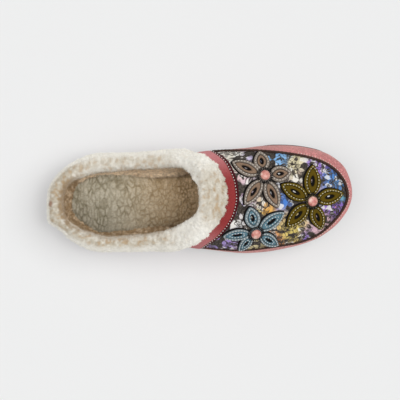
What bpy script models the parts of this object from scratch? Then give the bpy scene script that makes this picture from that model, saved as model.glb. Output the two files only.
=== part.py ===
"""Fleece-lined clog slipper for the right foot, standing empty on its sole.

+X runs from heel to toe, +Y towards the big toe's side (medial), +Z up. The origin lies on the floor
under the middle of the shoe's box. Sizes are in millimetres until a mesh is made, in metres.
"""

import math
from collections import namedtuple

import bmesh
import bpy
import numpy as np

MM = 0.001
BOX_MIDDLE = (1.05, -0.065)  # middle of the finished shoe's box in the tables' own frame

# Driving dimensions
HEEL_X, HEEL_Y = -125.9, -4.0  # back of the upper, at its widest level
TOE_X, TOE_Y = 134.2, 5.5  # tip of the toe, which leans to the medial side
HEEL_RADIUS, TOE_RADIUS = 48.0, 31.0  # roundness of the two ends, seen from above
WALL = 5.0  # suede or print, its backing and the fleece lining together
GAP = 0.3  # between pieces that meet
FEATHER_INSET = 2.2  # how far the wall tucks in where it meets the sole
SPINE_SHARE = 0.72  # the crown line's length as a share of the upper's
ARCH_SIDE, ARCH_TOP = 2.4, 2.2  # exponents of the section's arch: fuller than an ellipse
TOPLINE_SHEAR = 0.10  # the opening's slant: further back on the lateral side
WALL_SHARE = 0.22  # share of a section's parameter below its widest level
INSOLE_THICK = 6.0
INSOLE_INSET = FEATHER_INSET + WALL + 0.6
CUFF_OUT, CUFF_IN = 6.3, -9.5  # the fleece roll's reach from the wall's outer face
CUFF_TOP, CUFF_DROP = 6.0, -21.0  # its reach above and below the topline
BAND_THICK = 1.2
ROOM_OVERLAP = 2.0  # how deep the band's clearance reaches into the wall's
ROOM_SPREAD = 0.08  # how much wider than the band it is
PIPING_RADIUS = 1.3
PETAL_THICK = 1.2
PETAL_BASE = 5.6  # from the flower's centre to where a petal starts
PETAL_TAPER, PETAL_FULLNESS = 0.85, 0.72  # exponents of a petal's outline
EYE_LENGTH, EYE_WIDTH = 0.40, 0.28  # the cut-out eye, as shares of the petal's own sizes
EYE_PLACE = 0.47  # the eye's middle along the petal
ROSETTE_RADIUS, ROSETTE_THICK = 7.0, 0.8
BUTTON_RADIUS, BUTTON_HEIGHT, BUTTON_EDGE = 4.3, 3.2, 0.8

# Mesh steps
STATIONS = 38  # along the shoe, from toe to heel
SECTION_STEPS = 18  # across a section, from sole to crown and down again
CUFF_STEPS, CUFF_SIDES = 48, 12
BAND_STEPS, BAND_COLUMNS = 28, 3
PIPING_STEPS, PETAL_STEPS, TURN_STEPS, DOME_STEPS = 44, 14, 14, 5
FINE_STEPS = 1600  # points of the topline before it is evenly spaced
HALVINGS = 48  # of an interval, in each search for a height or an edge
SMOOTH_ANGLE = 40.0  # degrees: sharper edges stay crisp in the shading

Plan = namedtuple("Plan", "x medial lateral")
PLAN = (  # outline of the upper at its widest level, seen from above
    Plan(129.0, 25.6, -12.0),
    Plan(121.0, 34.6, -22.2),
    Plan(110.0, 41.2, -31.2),
    Plan(95.0, 45.4, -38.4),
    Plan(76.0, 47.4, -43.6),
    Plan(56.0, 47.0, -46.9),
    Plan(36.0, 44.6, -47.6),
    Plan(20.0, 43.4, -46.0),
    Plan(4.0, 42.0, -43.9),
    Plan(-12.0, 39.2, -41.0),
    Plan(-35.0, 36.5, -39.8),
    Plan(-70.0, 33.6, -40.1),
    Plan(-94.0, 31.1, -37.6),
    Plan(-109.0, 25.1, -29.6),
    Plan(-120.5, 15.4, -20.0),
)

Side = namedtuple("Side", "x tread feather widest crown")
SIDE = (  # heights in the side view: the sole's two faces, the widest level and the top of the last
    Side(-130.0, 2.4, 20.8, 34.0, 104.0),
    Side(-112.0, 0.0, 19.5, 33.0, 104.0),
    Side(-80.0, 0.0, 18.0, 31.0, 104.0),
    Side(-52.0, 0.0, 16.5, 29.5, 103.0),
    Side(-25.0, 1.6, 14.6, 28.0, 98.0),
    Side(0.0, 2.2, 12.4, 26.0, 85.0),
    Side(16.0, 1.2, 11.2, 25.0, 78.0),
    Side(34.0, 0.0, 10.4, 24.0, 71.5),
    Side(56.0, 0.0, 10.0, 23.0, 64.5),
    Side(78.0, 0.0, 10.4, 23.0, 57.5),
    Side(98.0, 1.8, 12.0, 24.5, 51.5),
    Side(116.0, 5.2, 15.0, 27.0, 46.0),
    Side(136.0, 11.0, 20.4, 31.3, 40.5),
)

Topline = namedtuple("Topline", "x z")
TOPLINE = (  # the upper's cut edge in the side view, from the heel up over the instep
    Topline(-140.0, 53.0),
    Topline(-100.0, 50.5),
    Topline(-66.0, 48.8),
    Topline(-38.0, 51.0),
    Topline(-22.0, 56.5),
    Topline(-10.0, 64.5),
    Topline(-1.0, 74.0),
    Topline(4.0, 81.0),
    Topline(6.5, 90.0),
    Topline(7.5, 110.0),
)

Edge = namedtuple("Edge", "inset level")
SOLE_EDGE = (  # the sole's rim from the floor up: inset from the outline, share of the height
    Edge(3.6, 0.0),
    Edge(1.4, 0.22),
    Edge(0.7, 0.60),
    Edge(1.2, 1.0),
)
INSOLE_EDGE = (
    Edge(INSOLE_INSET, 0.0),
    Edge(INSOLE_INSET, 0.72),
    Edge(INSOLE_INSET + 1.8, 1.0),
)

Band = namedtuple("Band", "front_x front_y back_x back_y")
BAND = (  # the suede strip over the instep, from the lateral piping to the medial one
    Band(2.6, -42.4, -6.0, -40.9),
    Band(4.4, -40.4, -4.0, -38.0),
    Band(9.3, -36.6, -0.4, -33.6),
    Band(15.2, -32.1, 5.4, -28.8),
    Band(20.3, -26.8, 11.2, -23.0),
    Band(25.6, -19.6, 16.4, -16.2),
    Band(29.6, -10.8, 19.8, -8.4),
    Band(31.8, 1.0, 21.0, 1.6),
    Band(30.4, 13.4, 19.4, 11.6),
    Band(27.0, 23.3, 15.6, 20.6),
    Band(22.1, 32.0, 9.6, 28.6),
    Band(16.1, 37.4, 3.6, 34.2),
    Band(12.6, 39.7, -0.6, 37.4),
    Band(10.6, 40.9, -2.6, 39.3),
)

Point = namedtuple("Point", "x y")
PIPING = (  # the seam between vamp and side wall, from above: lateral throat, toe, medial throat
    Point(4.6, -42.4),
    Point(18.0, -43.8),
    Point(31.1, -44.6),
    Point(44.2, -44.2),
    Point(57.4, -42.7),
    Point(70.5, -40.8),
    Point(83.7, -38.7),
    Point(96.8, -34.6),
    Point(107.3, -28.6),
    Point(116.9, -19.9),
    Point(124.0, -11.2),
    Point(128.2, -3.5),
    Point(129.5, 3.5),
    Point(127.7, 12.3),
    Point(123.1, 20.3),
    Point(116.1, 27.2),
    Point(105.6, 33.0),
    Point(92.4, 36.9),
    Point(79.3, 39.3),
    Point(61.8, 40.9),
    Point(44.2, 41.4),
    Point(26.7, 41.0),
    Point(12.6, 40.6),
)

Flower = namedtuple("Flower", "name x y colour tips")
Tip = namedtuple("Tip", "x y width")
FLOWERS = (  # centres and petal tips, seen from above
    Flower("taupe", 55.5, 19.6, (0.17, 0.13, 0.10), (
        Tip(79.0, 23.2, 12.2), Tip(52.0, 39.2, 13.2), Tip(27.6, 30.8, 10.6),
        Tip(37.8, -5.4, 12.8), Tip(67.8, -8.0, 13.4))),
    Flower("olive", 97.0, -1.7, (0.16, 0.11, 0.012), (
        Tip(124.6, 5.7, 13.0), Tip(98.6, 28.4, 14.2), Tip(70.1, 12.7, 13.4),
        Tip(75.9, -23.1, 13.0), Tip(107.0, -25.4, 12.4))),
    Flower("blue", 47.9, -28.6, (0.11, 0.18, 0.23), (
        Tip(67.6, -38.0, 9.8), Tip(73.0, -11.3, 11.6), Tip(43.5, -6.2, 13.0),
        Tip(20.2, -30.4, 7.8), Tip(35.4, -41.8, 7.6))),
)

# Principled BSDF settings: base colour, roughness
FINISHES = {
    "outsole": ((0.035, 0.024, 0.018), 0.75),
    "insole": ((0.42, 0.36, 0.27), 0.95),
    "upper": ((0.50, 0.14, 0.14), 0.85),
    "fleece": ((0.78, 0.73, 0.63), 0.95),
    "band": ((0.36, 0.05, 0.055), 0.85),
    "piping": ((0.045, 0.026, 0.018), 0.7),
    "rosette": ((0.008, 0.008, 0.009), 0.8),
    "button": ((0.66, 0.30, 0.25), 0.35),
}


# Curves and sections of the last

def smooth(xs, ys, at):
    """A smooth curve through the points that never overshoots between them (monotone cubic)."""
    xs, ys = np.asarray(xs, float), np.asarray(ys, float)
    step = np.diff(xs)
    rise = np.diff(ys) / step
    slope = np.zeros_like(ys)
    same = rise[:-1] * rise[1:] > 0
    safe = np.where(same, rise[:-1] + rise[1:], 1.0)
    slope[1:-1] = np.where(same, 2 * rise[:-1] * rise[1:] / safe, 0.0)
    slope[0], slope[-1] = rise[0], rise[-1]
    at = np.asarray(at, float)
    k = np.clip(np.searchsorted(xs, at) - 1, 0, len(step) - 1)
    t = (at - xs[k]) / step[k]
    return (
        ys[k] * (1 + 2 * t) * (1 - t) ** 2
        + slope[k] * step[k] * t * (1 - t) ** 2
        + ys[k + 1] * t**2 * (3 - 2 * t)
        + slope[k + 1] * step[k] * t**2 * (t - 1)
    )


def side_height(x, column):
    return smooth([r.x for r in SIDE], [getattr(r, column) for r in SIDE], x)


def topline_height(x, y):
    """Height of the cut edge. Ahead of the instep nothing is cut."""
    station = np.minimum(x - TOPLINE_SHEAR * y, TOPLINE[-1].x)
    return smooth([r.x for r in TOPLINE], [r.z for r in TOPLINE], station)


X_MID, X_HALF = (TOE_X + HEEL_X) / 2, (TOE_X - HEEL_X) / 2


def centre_y(x):
    """The line that the widths are measured from, from the heel's back to the toe's tip."""
    return HEEL_Y + (TOE_Y - HEEL_Y) * (x - HEEL_X) / (TOE_X - HEEL_X)


def fullness_curve(side):
    """Half width over the sine of the station's angle, on one side, against that angle."""
    angles, values = [0.0], [math.sqrt(TOE_RADIUS * X_HALF)]
    for row in PLAN:
        angle = math.acos((row.x - X_MID) / X_HALF)
        y = row.medial if side > 0 else row.lateral
        angles.append(angle)
        values.append(abs(y - centre_y(row.x)) / math.sin(angle))
    angles.append(math.pi)
    values.append(math.sqrt(HEEL_RADIUS * X_HALF))
    return angles, values


FULLNESS = {side: fullness_curve(side) for side in (1, -1)}


def outline(angle, side):
    """Plan point of the upper's outline. The angle is 0 at the toe's tip and pi at the heel's back."""
    x = X_MID + X_HALF * np.cos(angle)
    half = np.where(
        side > 0, smooth(*FULLNESS[1], angle), -smooth(*FULLNESS[-1], angle)
    ) * np.sin(angle)
    return x, centre_y(x) + half


def inset_outline(angle, side, inset):
    """The outline moved inwards by a distance, along its own normal."""
    small = 1e-3  # radians, for the slope
    x, y = outline(angle, side)
    x0, y0 = outline(np.abs(angle - small), np.where(angle < small, -side, side))
    over = angle + small > math.pi
    x1, y1 = outline(
        np.where(over, 2 * math.pi - angle - small, angle + small), np.where(over, -side, side)
    )
    tx, ty = x1 - x0, y1 - y0
    length = np.hypot(tx, ty)
    return x - side * inset * ty / length, y + side * inset * tx / length


def spine(x):
    """The crown's plan point that belongs to the outline's station x."""
    spine_x = X_MID + SPINE_SHARE * (x - X_MID)
    return spine_x, centre_y(spine_x)


def skin(angle, side, share):
    """Points of the upper's outer face. A share is 0 at the sole, WALL_SHARE where widest, 1 on top."""
    angle, side, share = np.broadcast_arrays(*(np.asarray(v, float) for v in (angle, side, share)))
    ox, oy = outline(angle, side)
    cx, cy = spine(ox)
    low = np.clip(share / WALL_SHARE, 0, 1)
    arch = np.clip((share - WALL_SHARE) / (1 - WALL_SHARE), 0, 1) * math.pi / 2
    reach = np.maximum(np.hypot(cx - ox, cy - oy), 1.0)
    tuck = FEATHER_INSET / reach * (1 - low) ** 2
    inward = tuck + 1 - np.clip(np.cos(arch), 0, 1) ** (2 / ARCH_SIDE)
    x, y = ox + (cx - ox) * inward, oy + (cy - oy) * inward
    feather, widest = side_height(x, "feather") + GAP, side_height(x, "widest")
    rise = np.clip(np.sin(arch), 0, 1) ** (2 / ARCH_TOP)
    z = feather + (widest - feather) * low + (side_height(x, "crown") - widest) * rise
    return np.stack([x, y, z], -1)


def skin_height(x, y):
    """Height of the upper's outer face above a plan point inside the outline."""
    x, y = np.asarray(x, float), np.asarray(y, float)
    side = np.where(y >= centre_y(x), 1.0, -1.0)
    near, far = np.zeros_like(x), np.ones_like(x)
    for _ in range(HALVINGS):
        inward = (near + far) / 2
        station = X_MID + (x - X_MID) / (1 - inward + inward * SPINE_SHARE)
        angle = np.arccos(np.clip((station - X_MID) / X_HALF, -1, 1))
        ox, oy = outline(angle, side)
        edge_y = oy + (spine(ox)[1] - oy) * inward
        inside = ((edge_y - y) * side > 0) & (np.abs(station - X_MID) < X_HALF)
        near, far = np.where(inside, inward, near), np.where(inside, far, inward)
    rise = (1 - (1 - near) ** ARCH_SIDE) ** (1 / ARCH_TOP)
    widest = side_height(x, "widest")
    return widest + (side_height(x, "crown") - widest) * rise


def on_skin(x, y, lift):
    """Points over the vamp's outer face, lifted along its normal from plan points."""
    x, y = np.asarray(x, float), np.asarray(y, float)
    small = 0.2
    slope_x = (skin_height(x + small, y) - skin_height(x - small, y)) / (2 * small)
    slope_y = (skin_height(x, y + small) - skin_height(x, y - small)) / (2 * small)
    normal = np.stack([-slope_x, -slope_y, np.ones_like(x)], -1)
    normal /= np.linalg.norm(normal, axis=-1, keepdims=True)
    return np.stack([x, y, skin_height(x, y)], -1) + normal * np.asarray(lift)[..., None], normal


# Blender helpers

def material(name, colour, roughness):
    made = bpy.data.materials.new(name)
    made.use_nodes = True
    shader = made.node_tree.nodes["Principled BSDF"]
    shader.inputs["Base Color"].default_value = (*colour, 1.0)
    shader.inputs["Roughness"].default_value = roughness
    return made


def finish(name):
    return bpy.data.materials.get(name) or material(name, *FINISHES[name])


def add_object(name, mesh, collection, made_of=None):
    made = bpy.data.objects.new(name, mesh)
    collection.objects.link(made)
    if made_of:
        mesh.materials.append(made_of)
        mesh.shade_smooth()
        mesh.set_sharp_from_angle(angle=math.radians(SMOOTH_ANGLE))
    return made


def grid_mesh(name, rows, columns, place):
    """A grid whose two parameters, each 0 to 1, are bent into shape. Edges that meet are joined."""
    bm = bmesh.new()
    bmesh.ops.create_grid(bm, x_segments=rows, y_segments=columns, size=0.5)
    uv = np.array([v.co[:2] for v in bm.verts]) + 0.5
    for vert, point in zip(bm.verts, place(uv[:, 0], uv[:, 1])):
        vert.co = point * MM
    bmesh.ops.remove_doubles(bm, verts=bm.verts, dist=1e-6)
    bmesh.ops.dissolve_degenerate(bm, edges=bm.edges, dist=1e-6)
    bmesh.ops.recalc_face_normals(bm, faces=bm.faces)
    mesh = bpy.data.meshes.new(name)
    bm.to_mesh(mesh)
    bm.free()
    return mesh


def solidify(made, thickness, outside):
    """Thickens an open surface: outside is the part of the thickness that lies beyond it."""
    shell = made.modifiers.new("wall", "SOLIDIFY")
    shell.thickness = thickness * MM
    shell.offset = 2 * outside / thickness - 1
    shell.use_even_offset = True


def cut(made, cutter):
    boolean = made.modifiers.new("cut", "BOOLEAN")
    boolean.operation = "DIFFERENCE"
    boolean.object = cutter


def hide_helper(made):
    made.hide_render = True
    made.display_type = "WIRE"


# Sub-parts

def lofted_slab(name, edge, bottom, top, collection, made_of):
    """A slab with the shoe's outline: its rim follows the edge table, its faces the two heights."""
    ring = [(1.0, e) for e in edge] + [(-1.0, e) for e in reversed(edge)]
    ring.append(ring[0])

    def place(along, around):
        k = np.rint(around * (len(ring) - 1)).astype(int)
        side = np.array([ring[i][0] for i in k])
        inset = np.array([ring[i][1].inset for i in k])
        level = np.array([ring[i][1].level for i in k])
        x, y = inset_outline(along * math.pi, side, inset)
        low, high = bottom(x), top(x)
        return np.stack([x, y, low + (high - low) * level], -1)

    mesh = grid_mesh(name, STATIONS, len(ring) - 1, place)
    return add_object(name, mesh, collection, made_of)


def last_surface(name, collection, made_of=None):
    """The upper's whole outer face, from sole to crown, closed over the foot and open underneath."""

    def place(along, across):
        side = np.where(across >= 0.5, 1.0, -1.0)
        return skin(along * math.pi, side, 1 - np.abs(2 * across - 1))

    mesh = grid_mesh(name, STATIONS, SECTION_STEPS, place)
    bm = bmesh.new()
    bm.from_mesh(mesh)
    if sum(f.normal.z * f.calc_area() for f in bm.faces) < 0:
        bmesh.ops.reverse_faces(bm, faces=bm.faces)
    bm.to_mesh(mesh)
    bm.free()
    return add_object(name, mesh, collection, made_of)


def collar_cutter(name, collection):
    """A prism across the shoe that removes all above the topline."""
    half_width, ceiling, steps = 90.0, 140.0, 40  # clear of the shoe on every side
    line = bpy.data.curves.new(name, "CURVE")
    line.dimensions, line.fill_mode = "2D", "BOTH"
    line.extrude = half_width * MM
    xs = np.linspace(TOPLINE[0].x, TOPLINE[-1].x, steps)
    points = [(x, z) for x, z in zip(xs, topline_height(xs, 0.0))]
    points += [(TOPLINE[-1].x, ceiling), (TOPLINE[0].x, ceiling)]
    spline = line.splines.new("POLY")
    spline.points.add(len(points) - 1)
    for node, (x, z) in zip(spline.points, points):
        node.co = (x * MM, z * MM, 0, 1)
    spline.use_cyclic_u = True
    drawn = bpy.data.objects.new(name + "_line", line)
    collection.objects.link(drawn)
    bpy.context.view_layer.update()
    mesh = bpy.data.meshes.new_from_object(drawn.evaluated_get(bpy.context.evaluated_depsgraph_get()))
    bpy.data.objects.remove(drawn)
    bm = bmesh.new()
    bm.from_mesh(mesh)
    bmesh.ops.remove_doubles(bm, verts=bm.verts, dist=1e-6)
    bmesh.ops.recalc_face_normals(bm, faces=bm.faces)
    for vert in bm.verts:
        vert.co.x -= TOPLINE_SHEAR * vert.co.z
    bm.to_mesh(mesh)
    bm.free()
    cutter = add_object(name, mesh, collection)
    cutter.rotation_euler.x = math.pi / 2
    hide_helper(cutter)
    return cutter


def topline_share(angle, side):
    """Where the topline crosses the section at this station."""
    near, far = np.full_like(angle, WALL_SHARE), np.ones_like(angle)
    for _ in range(HALVINGS):
        share = (near + far) / 2
        point = skin(angle, side, share)
        below = point[:, 2] < topline_height(point[:, 0], point[:, 1])
        near, far = np.where(below, share, near), np.where(below, far, share)
    return near


def topline_path(steps):
    """Evenly spaced frames round the collar: point, outward normal and direction towards the opening."""
    stations = np.linspace(0, math.pi, FINE_STEPS)
    crown = skin(stations, 1.0, 1.0)
    open_from = stations[np.argmax(crown[:, 2] > topline_height(crown[:, 0], crown[:, 1]))]
    turn = np.linspace(0, 2, FINE_STEPS, endpoint=False)
    side = np.where(turn < 1, 1.0, -1.0)
    ease = (1 - np.cos(math.pi * np.where(turn < 1, turn, 2 - turn))) / 2
    angle = open_from + (math.pi - open_from) * ease
    share = topline_share(angle, side)
    point = skin(angle, side, share)
    small = 1e-3
    along = skin(angle + small, side, share) - skin(angle - small, side, share)
    up = skin(angle, side, share) - skin(angle, side, share - small)
    normal = np.cross(along, up)
    normal /= np.linalg.norm(normal, axis=1, keepdims=True)
    from_middle = point - (X_MID, 0, side_height(X_MID, "widest"))
    normal *= np.sign((normal * from_middle).sum(1))[:, None]
    length = np.r_[0, np.cumsum(np.linalg.norm(np.diff(np.r_[point, point[:1]], axis=0), axis=1))]
    even = np.linspace(0, length[-1], steps, endpoint=False)

    def resample(values):
        looped = np.r_[values, values[:1]]
        return np.stack([np.interp(even, length, looped[:, i]) for i in range(3)], -1)

    point, normal = resample(point), resample(normal)
    tangent = np.roll(point, -1, 0) - np.roll(point, 1, 0)
    opening = np.cross(normal, tangent)
    opening *= np.sign((opening[:, 2] - opening[:, 0]))[:, None]
    normal /= np.linalg.norm(normal, axis=1, keepdims=True)
    opening /= np.linalg.norm(opening, axis=1, keepdims=True)
    return point, normal, opening


def fleece_cuff(collection, made_of):
    """The fleece roll, an oval tube round the topline."""
    point, normal, opening = topline_path(CUFF_STEPS)
    out_mid, out_half = (CUFF_OUT + CUFF_IN) / 2, (CUFF_OUT - CUFF_IN) / 2
    up_mid, up_half = (CUFF_TOP + CUFF_DROP) / 2, (CUFF_TOP - CUFF_DROP) / 2

    def place(along, around):
        k = np.rint(along * CUFF_STEPS).astype(int) % CUFF_STEPS
        turn = 2 * math.pi * around
        out = out_mid + out_half * np.cos(turn)
        up = up_mid + up_half * np.sin(turn)
        return point[k] + normal[k] * out[:, None] + opening[k] * up[:, None]

    mesh = grid_mesh("fleece_cuff", CUFF_STEPS, CUFF_SIDES, place)
    return add_object("fleece_cuff", mesh, collection, made_of)


def strip_points(along, across):
    """Plan points of the collar band: along it from lateral to medial, across it from back to front."""
    rows = np.linspace(0, 1, len(BAND))
    column = {name: smooth(rows, [getattr(r, name) for r in BAND], along) for name in Band._fields}
    x = column["back_x"] + (column["front_x"] - column["back_x"]) * across
    y = column["back_y"] + (column["front_y"] - column["back_y"]) * across
    return x, y


def collar_band(name, collection, lift, made_of=None, spread=0.0):
    """The band's lower face, to be thickened outwards. Spread widens it, as a share of its width."""

    def place(along, across):
        along = 0.5 + (along - 0.5) * (1 + spread / 4)
        across = 0.5 + (across - 0.5) * (1 + spread)
        return on_skin(*strip_points(along, across), np.full_like(along, lift))[0]

    return add_object(name, grid_mesh(name, BAND_STEPS, BAND_COLUMNS, place), collection, made_of)


def vamp_piping(collection, made_of):
    """A round welt that follows the seam line on the upper."""
    rows = np.linspace(0, 1, len(PIPING))
    at = np.linspace(0, 1, PIPING_STEPS)
    x = smooth(rows, [p.x for p in PIPING], at)
    y = smooth(rows, [p.y for p in PIPING], at)
    points, _ = on_skin(x, y, np.full_like(x, PIPING_RADIUS + GAP))
    line = bpy.data.curves.new("vamp_piping", "CURVE")
    line.dimensions = "3D"
    line.bevel_depth, line.bevel_resolution = PIPING_RADIUS * MM, 2
    line.use_fill_caps = True
    spline = line.splines.new("POLY")
    spline.points.add(len(points) - 1)
    for node, point in zip(spline.points, points):
        node.co = (*(point * MM), 1)
    line.materials.append(made_of)
    made = bpy.data.objects.new("vamp_piping", line)
    collection.objects.link(made)
    return made


def petal_outline(turn):
    """A petal's outline, 0 to 1 along and across it: pointed at its tip, narrow at its base."""
    along = (1 - np.cos(2 * math.pi * turn)) / 2
    half = np.sin(math.pi * along**PETAL_TAPER) ** PETAL_FULLNESS / 2
    return along, np.where(turn < 0.5, half, -half)


def eye_outline(turn):
    """The eye that is cut out of a petal: a small pointed oval."""
    along = EYE_PLACE - np.cos(2 * math.pi * turn) * EYE_LENGTH / 2
    return along, np.sin(2 * math.pi * turn) * EYE_WIDTH / 2


def petal(name, flower, tip, collection, made_of):
    """One petal lying on the vamp, with its eye cut out."""
    reach = np.array([tip.x - flower.x, tip.y - flower.y])
    length = np.hypot(*reach) - PETAL_BASE
    ahead = reach / np.hypot(*reach)
    across = np.array([-ahead[1], ahead[0]])

    def place(turn, outward):
        inner, outer = eye_outline(turn % 1.0), petal_outline(turn % 1.0)
        along = (inner[0] + (outer[0] - inner[0]) * outward) * length + PETAL_BASE
        aside = (inner[1] + (outer[1] - inner[1]) * outward) * tip.width
        x = flower.x + ahead[0] * along + across[0] * aside
        y = flower.y + ahead[1] * along + across[1] * aside
        return on_skin(x, y, np.full_like(x, GAP))[0]

    made = add_object(name, grid_mesh(name, PETAL_STEPS, 1, place), collection, made_of)
    solidify(made, PETAL_THICK, PETAL_THICK)


def turned(name, profile, collection, made_of):
    """A turned piece: its profile runs down from the top of the axis, round the outside, to the bottom."""
    mesh = bpy.data.meshes.new(name)
    mesh.from_pydata([(r * MM, 0, z * MM) for r, z in profile],
                     [(i, i + 1) for i in range(len(profile) - 1)], [])
    made = add_object(name, mesh, collection)
    spin = made.modifiers.new("turn", "SCREW")
    spin.steps = spin.render_steps = TURN_STEPS
    spin.use_merge_vertices, spin.merge_threshold = True, 1e-6
    spin.use_normal_calculate = spin.use_normal_flip = True
    mesh.materials.append(made_of)
    return made


def flower_centre(flower, collection):
    """The looped rosette and the domed button, stacked on the petals along the vamp's normal."""
    foot = GAP + PETAL_THICK + GAP
    seat, normal = on_skin(np.array([flower.x]), np.array([flower.y]), np.array([foot]))
    disc = [(0, ROSETTE_THICK), (ROSETTE_RADIUS, ROSETTE_THICK), (ROSETTE_RADIUS, 0), (0, 0)]
    steps = np.linspace(0, math.pi / 2, DOME_STEPS)
    dome = [(BUTTON_RADIUS * math.sin(a), BUTTON_EDGE + (BUTTON_HEIGHT - BUTTON_EDGE) * math.cos(a))
            for a in steps]
    dome += [(BUTTON_RADIUS, 0), (0, 0)]
    for kind, profile, lift in (("rosette", disc, 0.0), ("button", dome, ROSETTE_THICK + GAP)):
        made = turned(f"{flower.name}_{kind}", profile, collection, finish(kind))
        made.location = (seat[0] + normal[0] * lift) * MM
        made.rotation_mode = "QUATERNION"
        upright = np.array([0.0, 0.0, 1.0])
        axis = np.cross(upright, normal[0])
        half = (1 + normal[0][2], *axis)
        made.rotation_quaternion = np.array(half) / np.linalg.norm(half)


# Assembly

def clear_scene():
    for old in list(bpy.data.objects):
        bpy.data.objects.remove(old, do_unlink=True)


def new_collection(name):
    made = bpy.data.collections.new(name)
    bpy.context.scene.collection.children.link(made)
    return made


def main():
    clear_scene()
    parts, cutters = new_collection("clog"), new_collection("cutters")

    lofted_slab("outsole", SOLE_EDGE, lambda x: side_height(x, "tread"),
                lambda x: side_height(x, "feather"), parts, finish("outsole"))
    lofted_slab("insole", INSOLE_EDGE, lambda x: side_height(x, "feather") + GAP,
                lambda x: side_height(x, "feather") + GAP + INSOLE_THICK, parts, finish("insole"))

    upper = last_surface("upper", parts, finish("upper"))
    solidify(upper, WALL, 0.0)
    cut(upper, collar_cutter("collar_opening", cutters))

    wall_room = last_surface("wall_room", cutters)
    solidify(wall_room, WALL + 2 * GAP, GAP)
    raised = collar_cutter("collar_opening_raised", cutters)
    raised.location = (-GAP * MM, 0, GAP * MM)
    cut(wall_room, raised)
    hide_helper(wall_room)

    band = collar_band("collar_band", parts, GAP, finish("band"))
    solidify(band, BAND_THICK, BAND_THICK)
    band_room = collar_band("band_room", cutters, -ROOM_OVERLAP, spread=ROOM_SPREAD)
    room_thick = ROOM_OVERLAP + BAND_THICK + 2 * GAP
    solidify(band_room, room_thick, room_thick)
    hide_helper(band_room)

    cuff = fleece_cuff(parts, finish("fleece"))
    cut(cuff, wall_room)
    cut(cuff, band_room)

    vamp_piping(parts, finish("piping"))
    for flower in FLOWERS:
        leather = material(f"{flower.name}_petals", flower.colour, 0.8)
        for number, tip in enumerate(flower.tips, 1):
            petal(f"{flower.name}_petal_{number}", flower, tip, parts, leather)
        flower_centre(flower, parts)

    for made in bpy.data.objects:
        made.location.x -= BOX_MIDDLE[0] * MM
        made.location.y -= BOX_MIDDLE[1] * MM


main()
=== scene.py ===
"""Looks of the fleece-lined clog slipper for the right foot, standing empty on its sole.

The tables and curves of the last repeat those of the solids. Sizes are in millimetres, in the tables'
own frame, until a mesh is made, in metres: +X runs to the toe, +Y to the medial side and +Z up.
"""

import itertools
import math
from collections import namedtuple

import bmesh
import bpy
import numpy as np
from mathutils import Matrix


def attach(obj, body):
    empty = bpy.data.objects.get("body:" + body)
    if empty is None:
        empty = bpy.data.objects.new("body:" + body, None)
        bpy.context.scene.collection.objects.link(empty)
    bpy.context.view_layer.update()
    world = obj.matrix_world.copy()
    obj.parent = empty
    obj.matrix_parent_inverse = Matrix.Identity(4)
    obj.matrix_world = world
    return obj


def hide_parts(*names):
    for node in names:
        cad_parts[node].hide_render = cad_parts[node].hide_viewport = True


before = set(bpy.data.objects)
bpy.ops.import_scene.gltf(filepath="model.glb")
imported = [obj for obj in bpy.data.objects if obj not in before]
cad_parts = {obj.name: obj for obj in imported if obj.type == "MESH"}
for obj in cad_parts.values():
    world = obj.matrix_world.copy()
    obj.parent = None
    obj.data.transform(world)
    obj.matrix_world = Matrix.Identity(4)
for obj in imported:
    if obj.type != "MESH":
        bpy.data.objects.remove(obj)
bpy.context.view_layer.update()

MM = 0.001
BOX_MIDDLE = (1.05, -0.065)  # middle of the shoe's box in the tables' frame


def table(kind, rows):
    """Rows of numbers, with names for their columns."""
    return tuple(kind(*row) for row in rows)


# Driving dimensions of the solids
HEEL_X, HEEL_Y = -125.9, -4.0  # back of the upper, at its widest level
TOE_X, TOE_Y = 134.2, 5.5  # tip of the toe, which leans to the medial side
HEEL_RADIUS, TOE_RADIUS = 48.0, 31.0  # roundness of the two ends, seen from above
WALL = 5.0  # suede or print, its backing and the fleece lining together
GAP = 0.3  # between pieces that meet
FEATHER_INSET = 2.2  # how far the wall tucks in where it meets the sole
SPINE_SHARE = 0.72  # the crown line's length as a share of the upper's
ARCH_SIDE, ARCH_TOP = 2.4, 2.2  # exponents of the section's arch: fuller than an ellipse
TOPLINE_SHEAR = 0.10  # the opening's slant: further back on the lateral side
WALL_SHARE = 0.22  # share of a section's parameter below its widest level
INSOLE_THICK = 6.0
INSOLE_INSET = FEATHER_INSET + WALL + 0.6
PETAL_BASE = 3.8  # from the flower's centre to where a petal starts, under the rosette
PETAL_TAPER, PETAL_FULLNESS = 0.9, 0.72  # exponents of a petal's outline
EYE_LENGTH, EYE_WIDTH = 0.31, 0.23  # the cut-out eye, as shares of the petal's own sizes
EYE_PLACE = 0.485  # the eye's middle along the petal
BUTTON_RADIUS, BUTTON_HEIGHT, BUTTON_EDGE = 4.3, 3.2, 0.8

# Sizes that only the looks have
SUEDE_THICK = 1.6
LINING_THICK = 1.5
PILE_AT_RIM = 5.4  # from the outer face to the lining's surface

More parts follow.
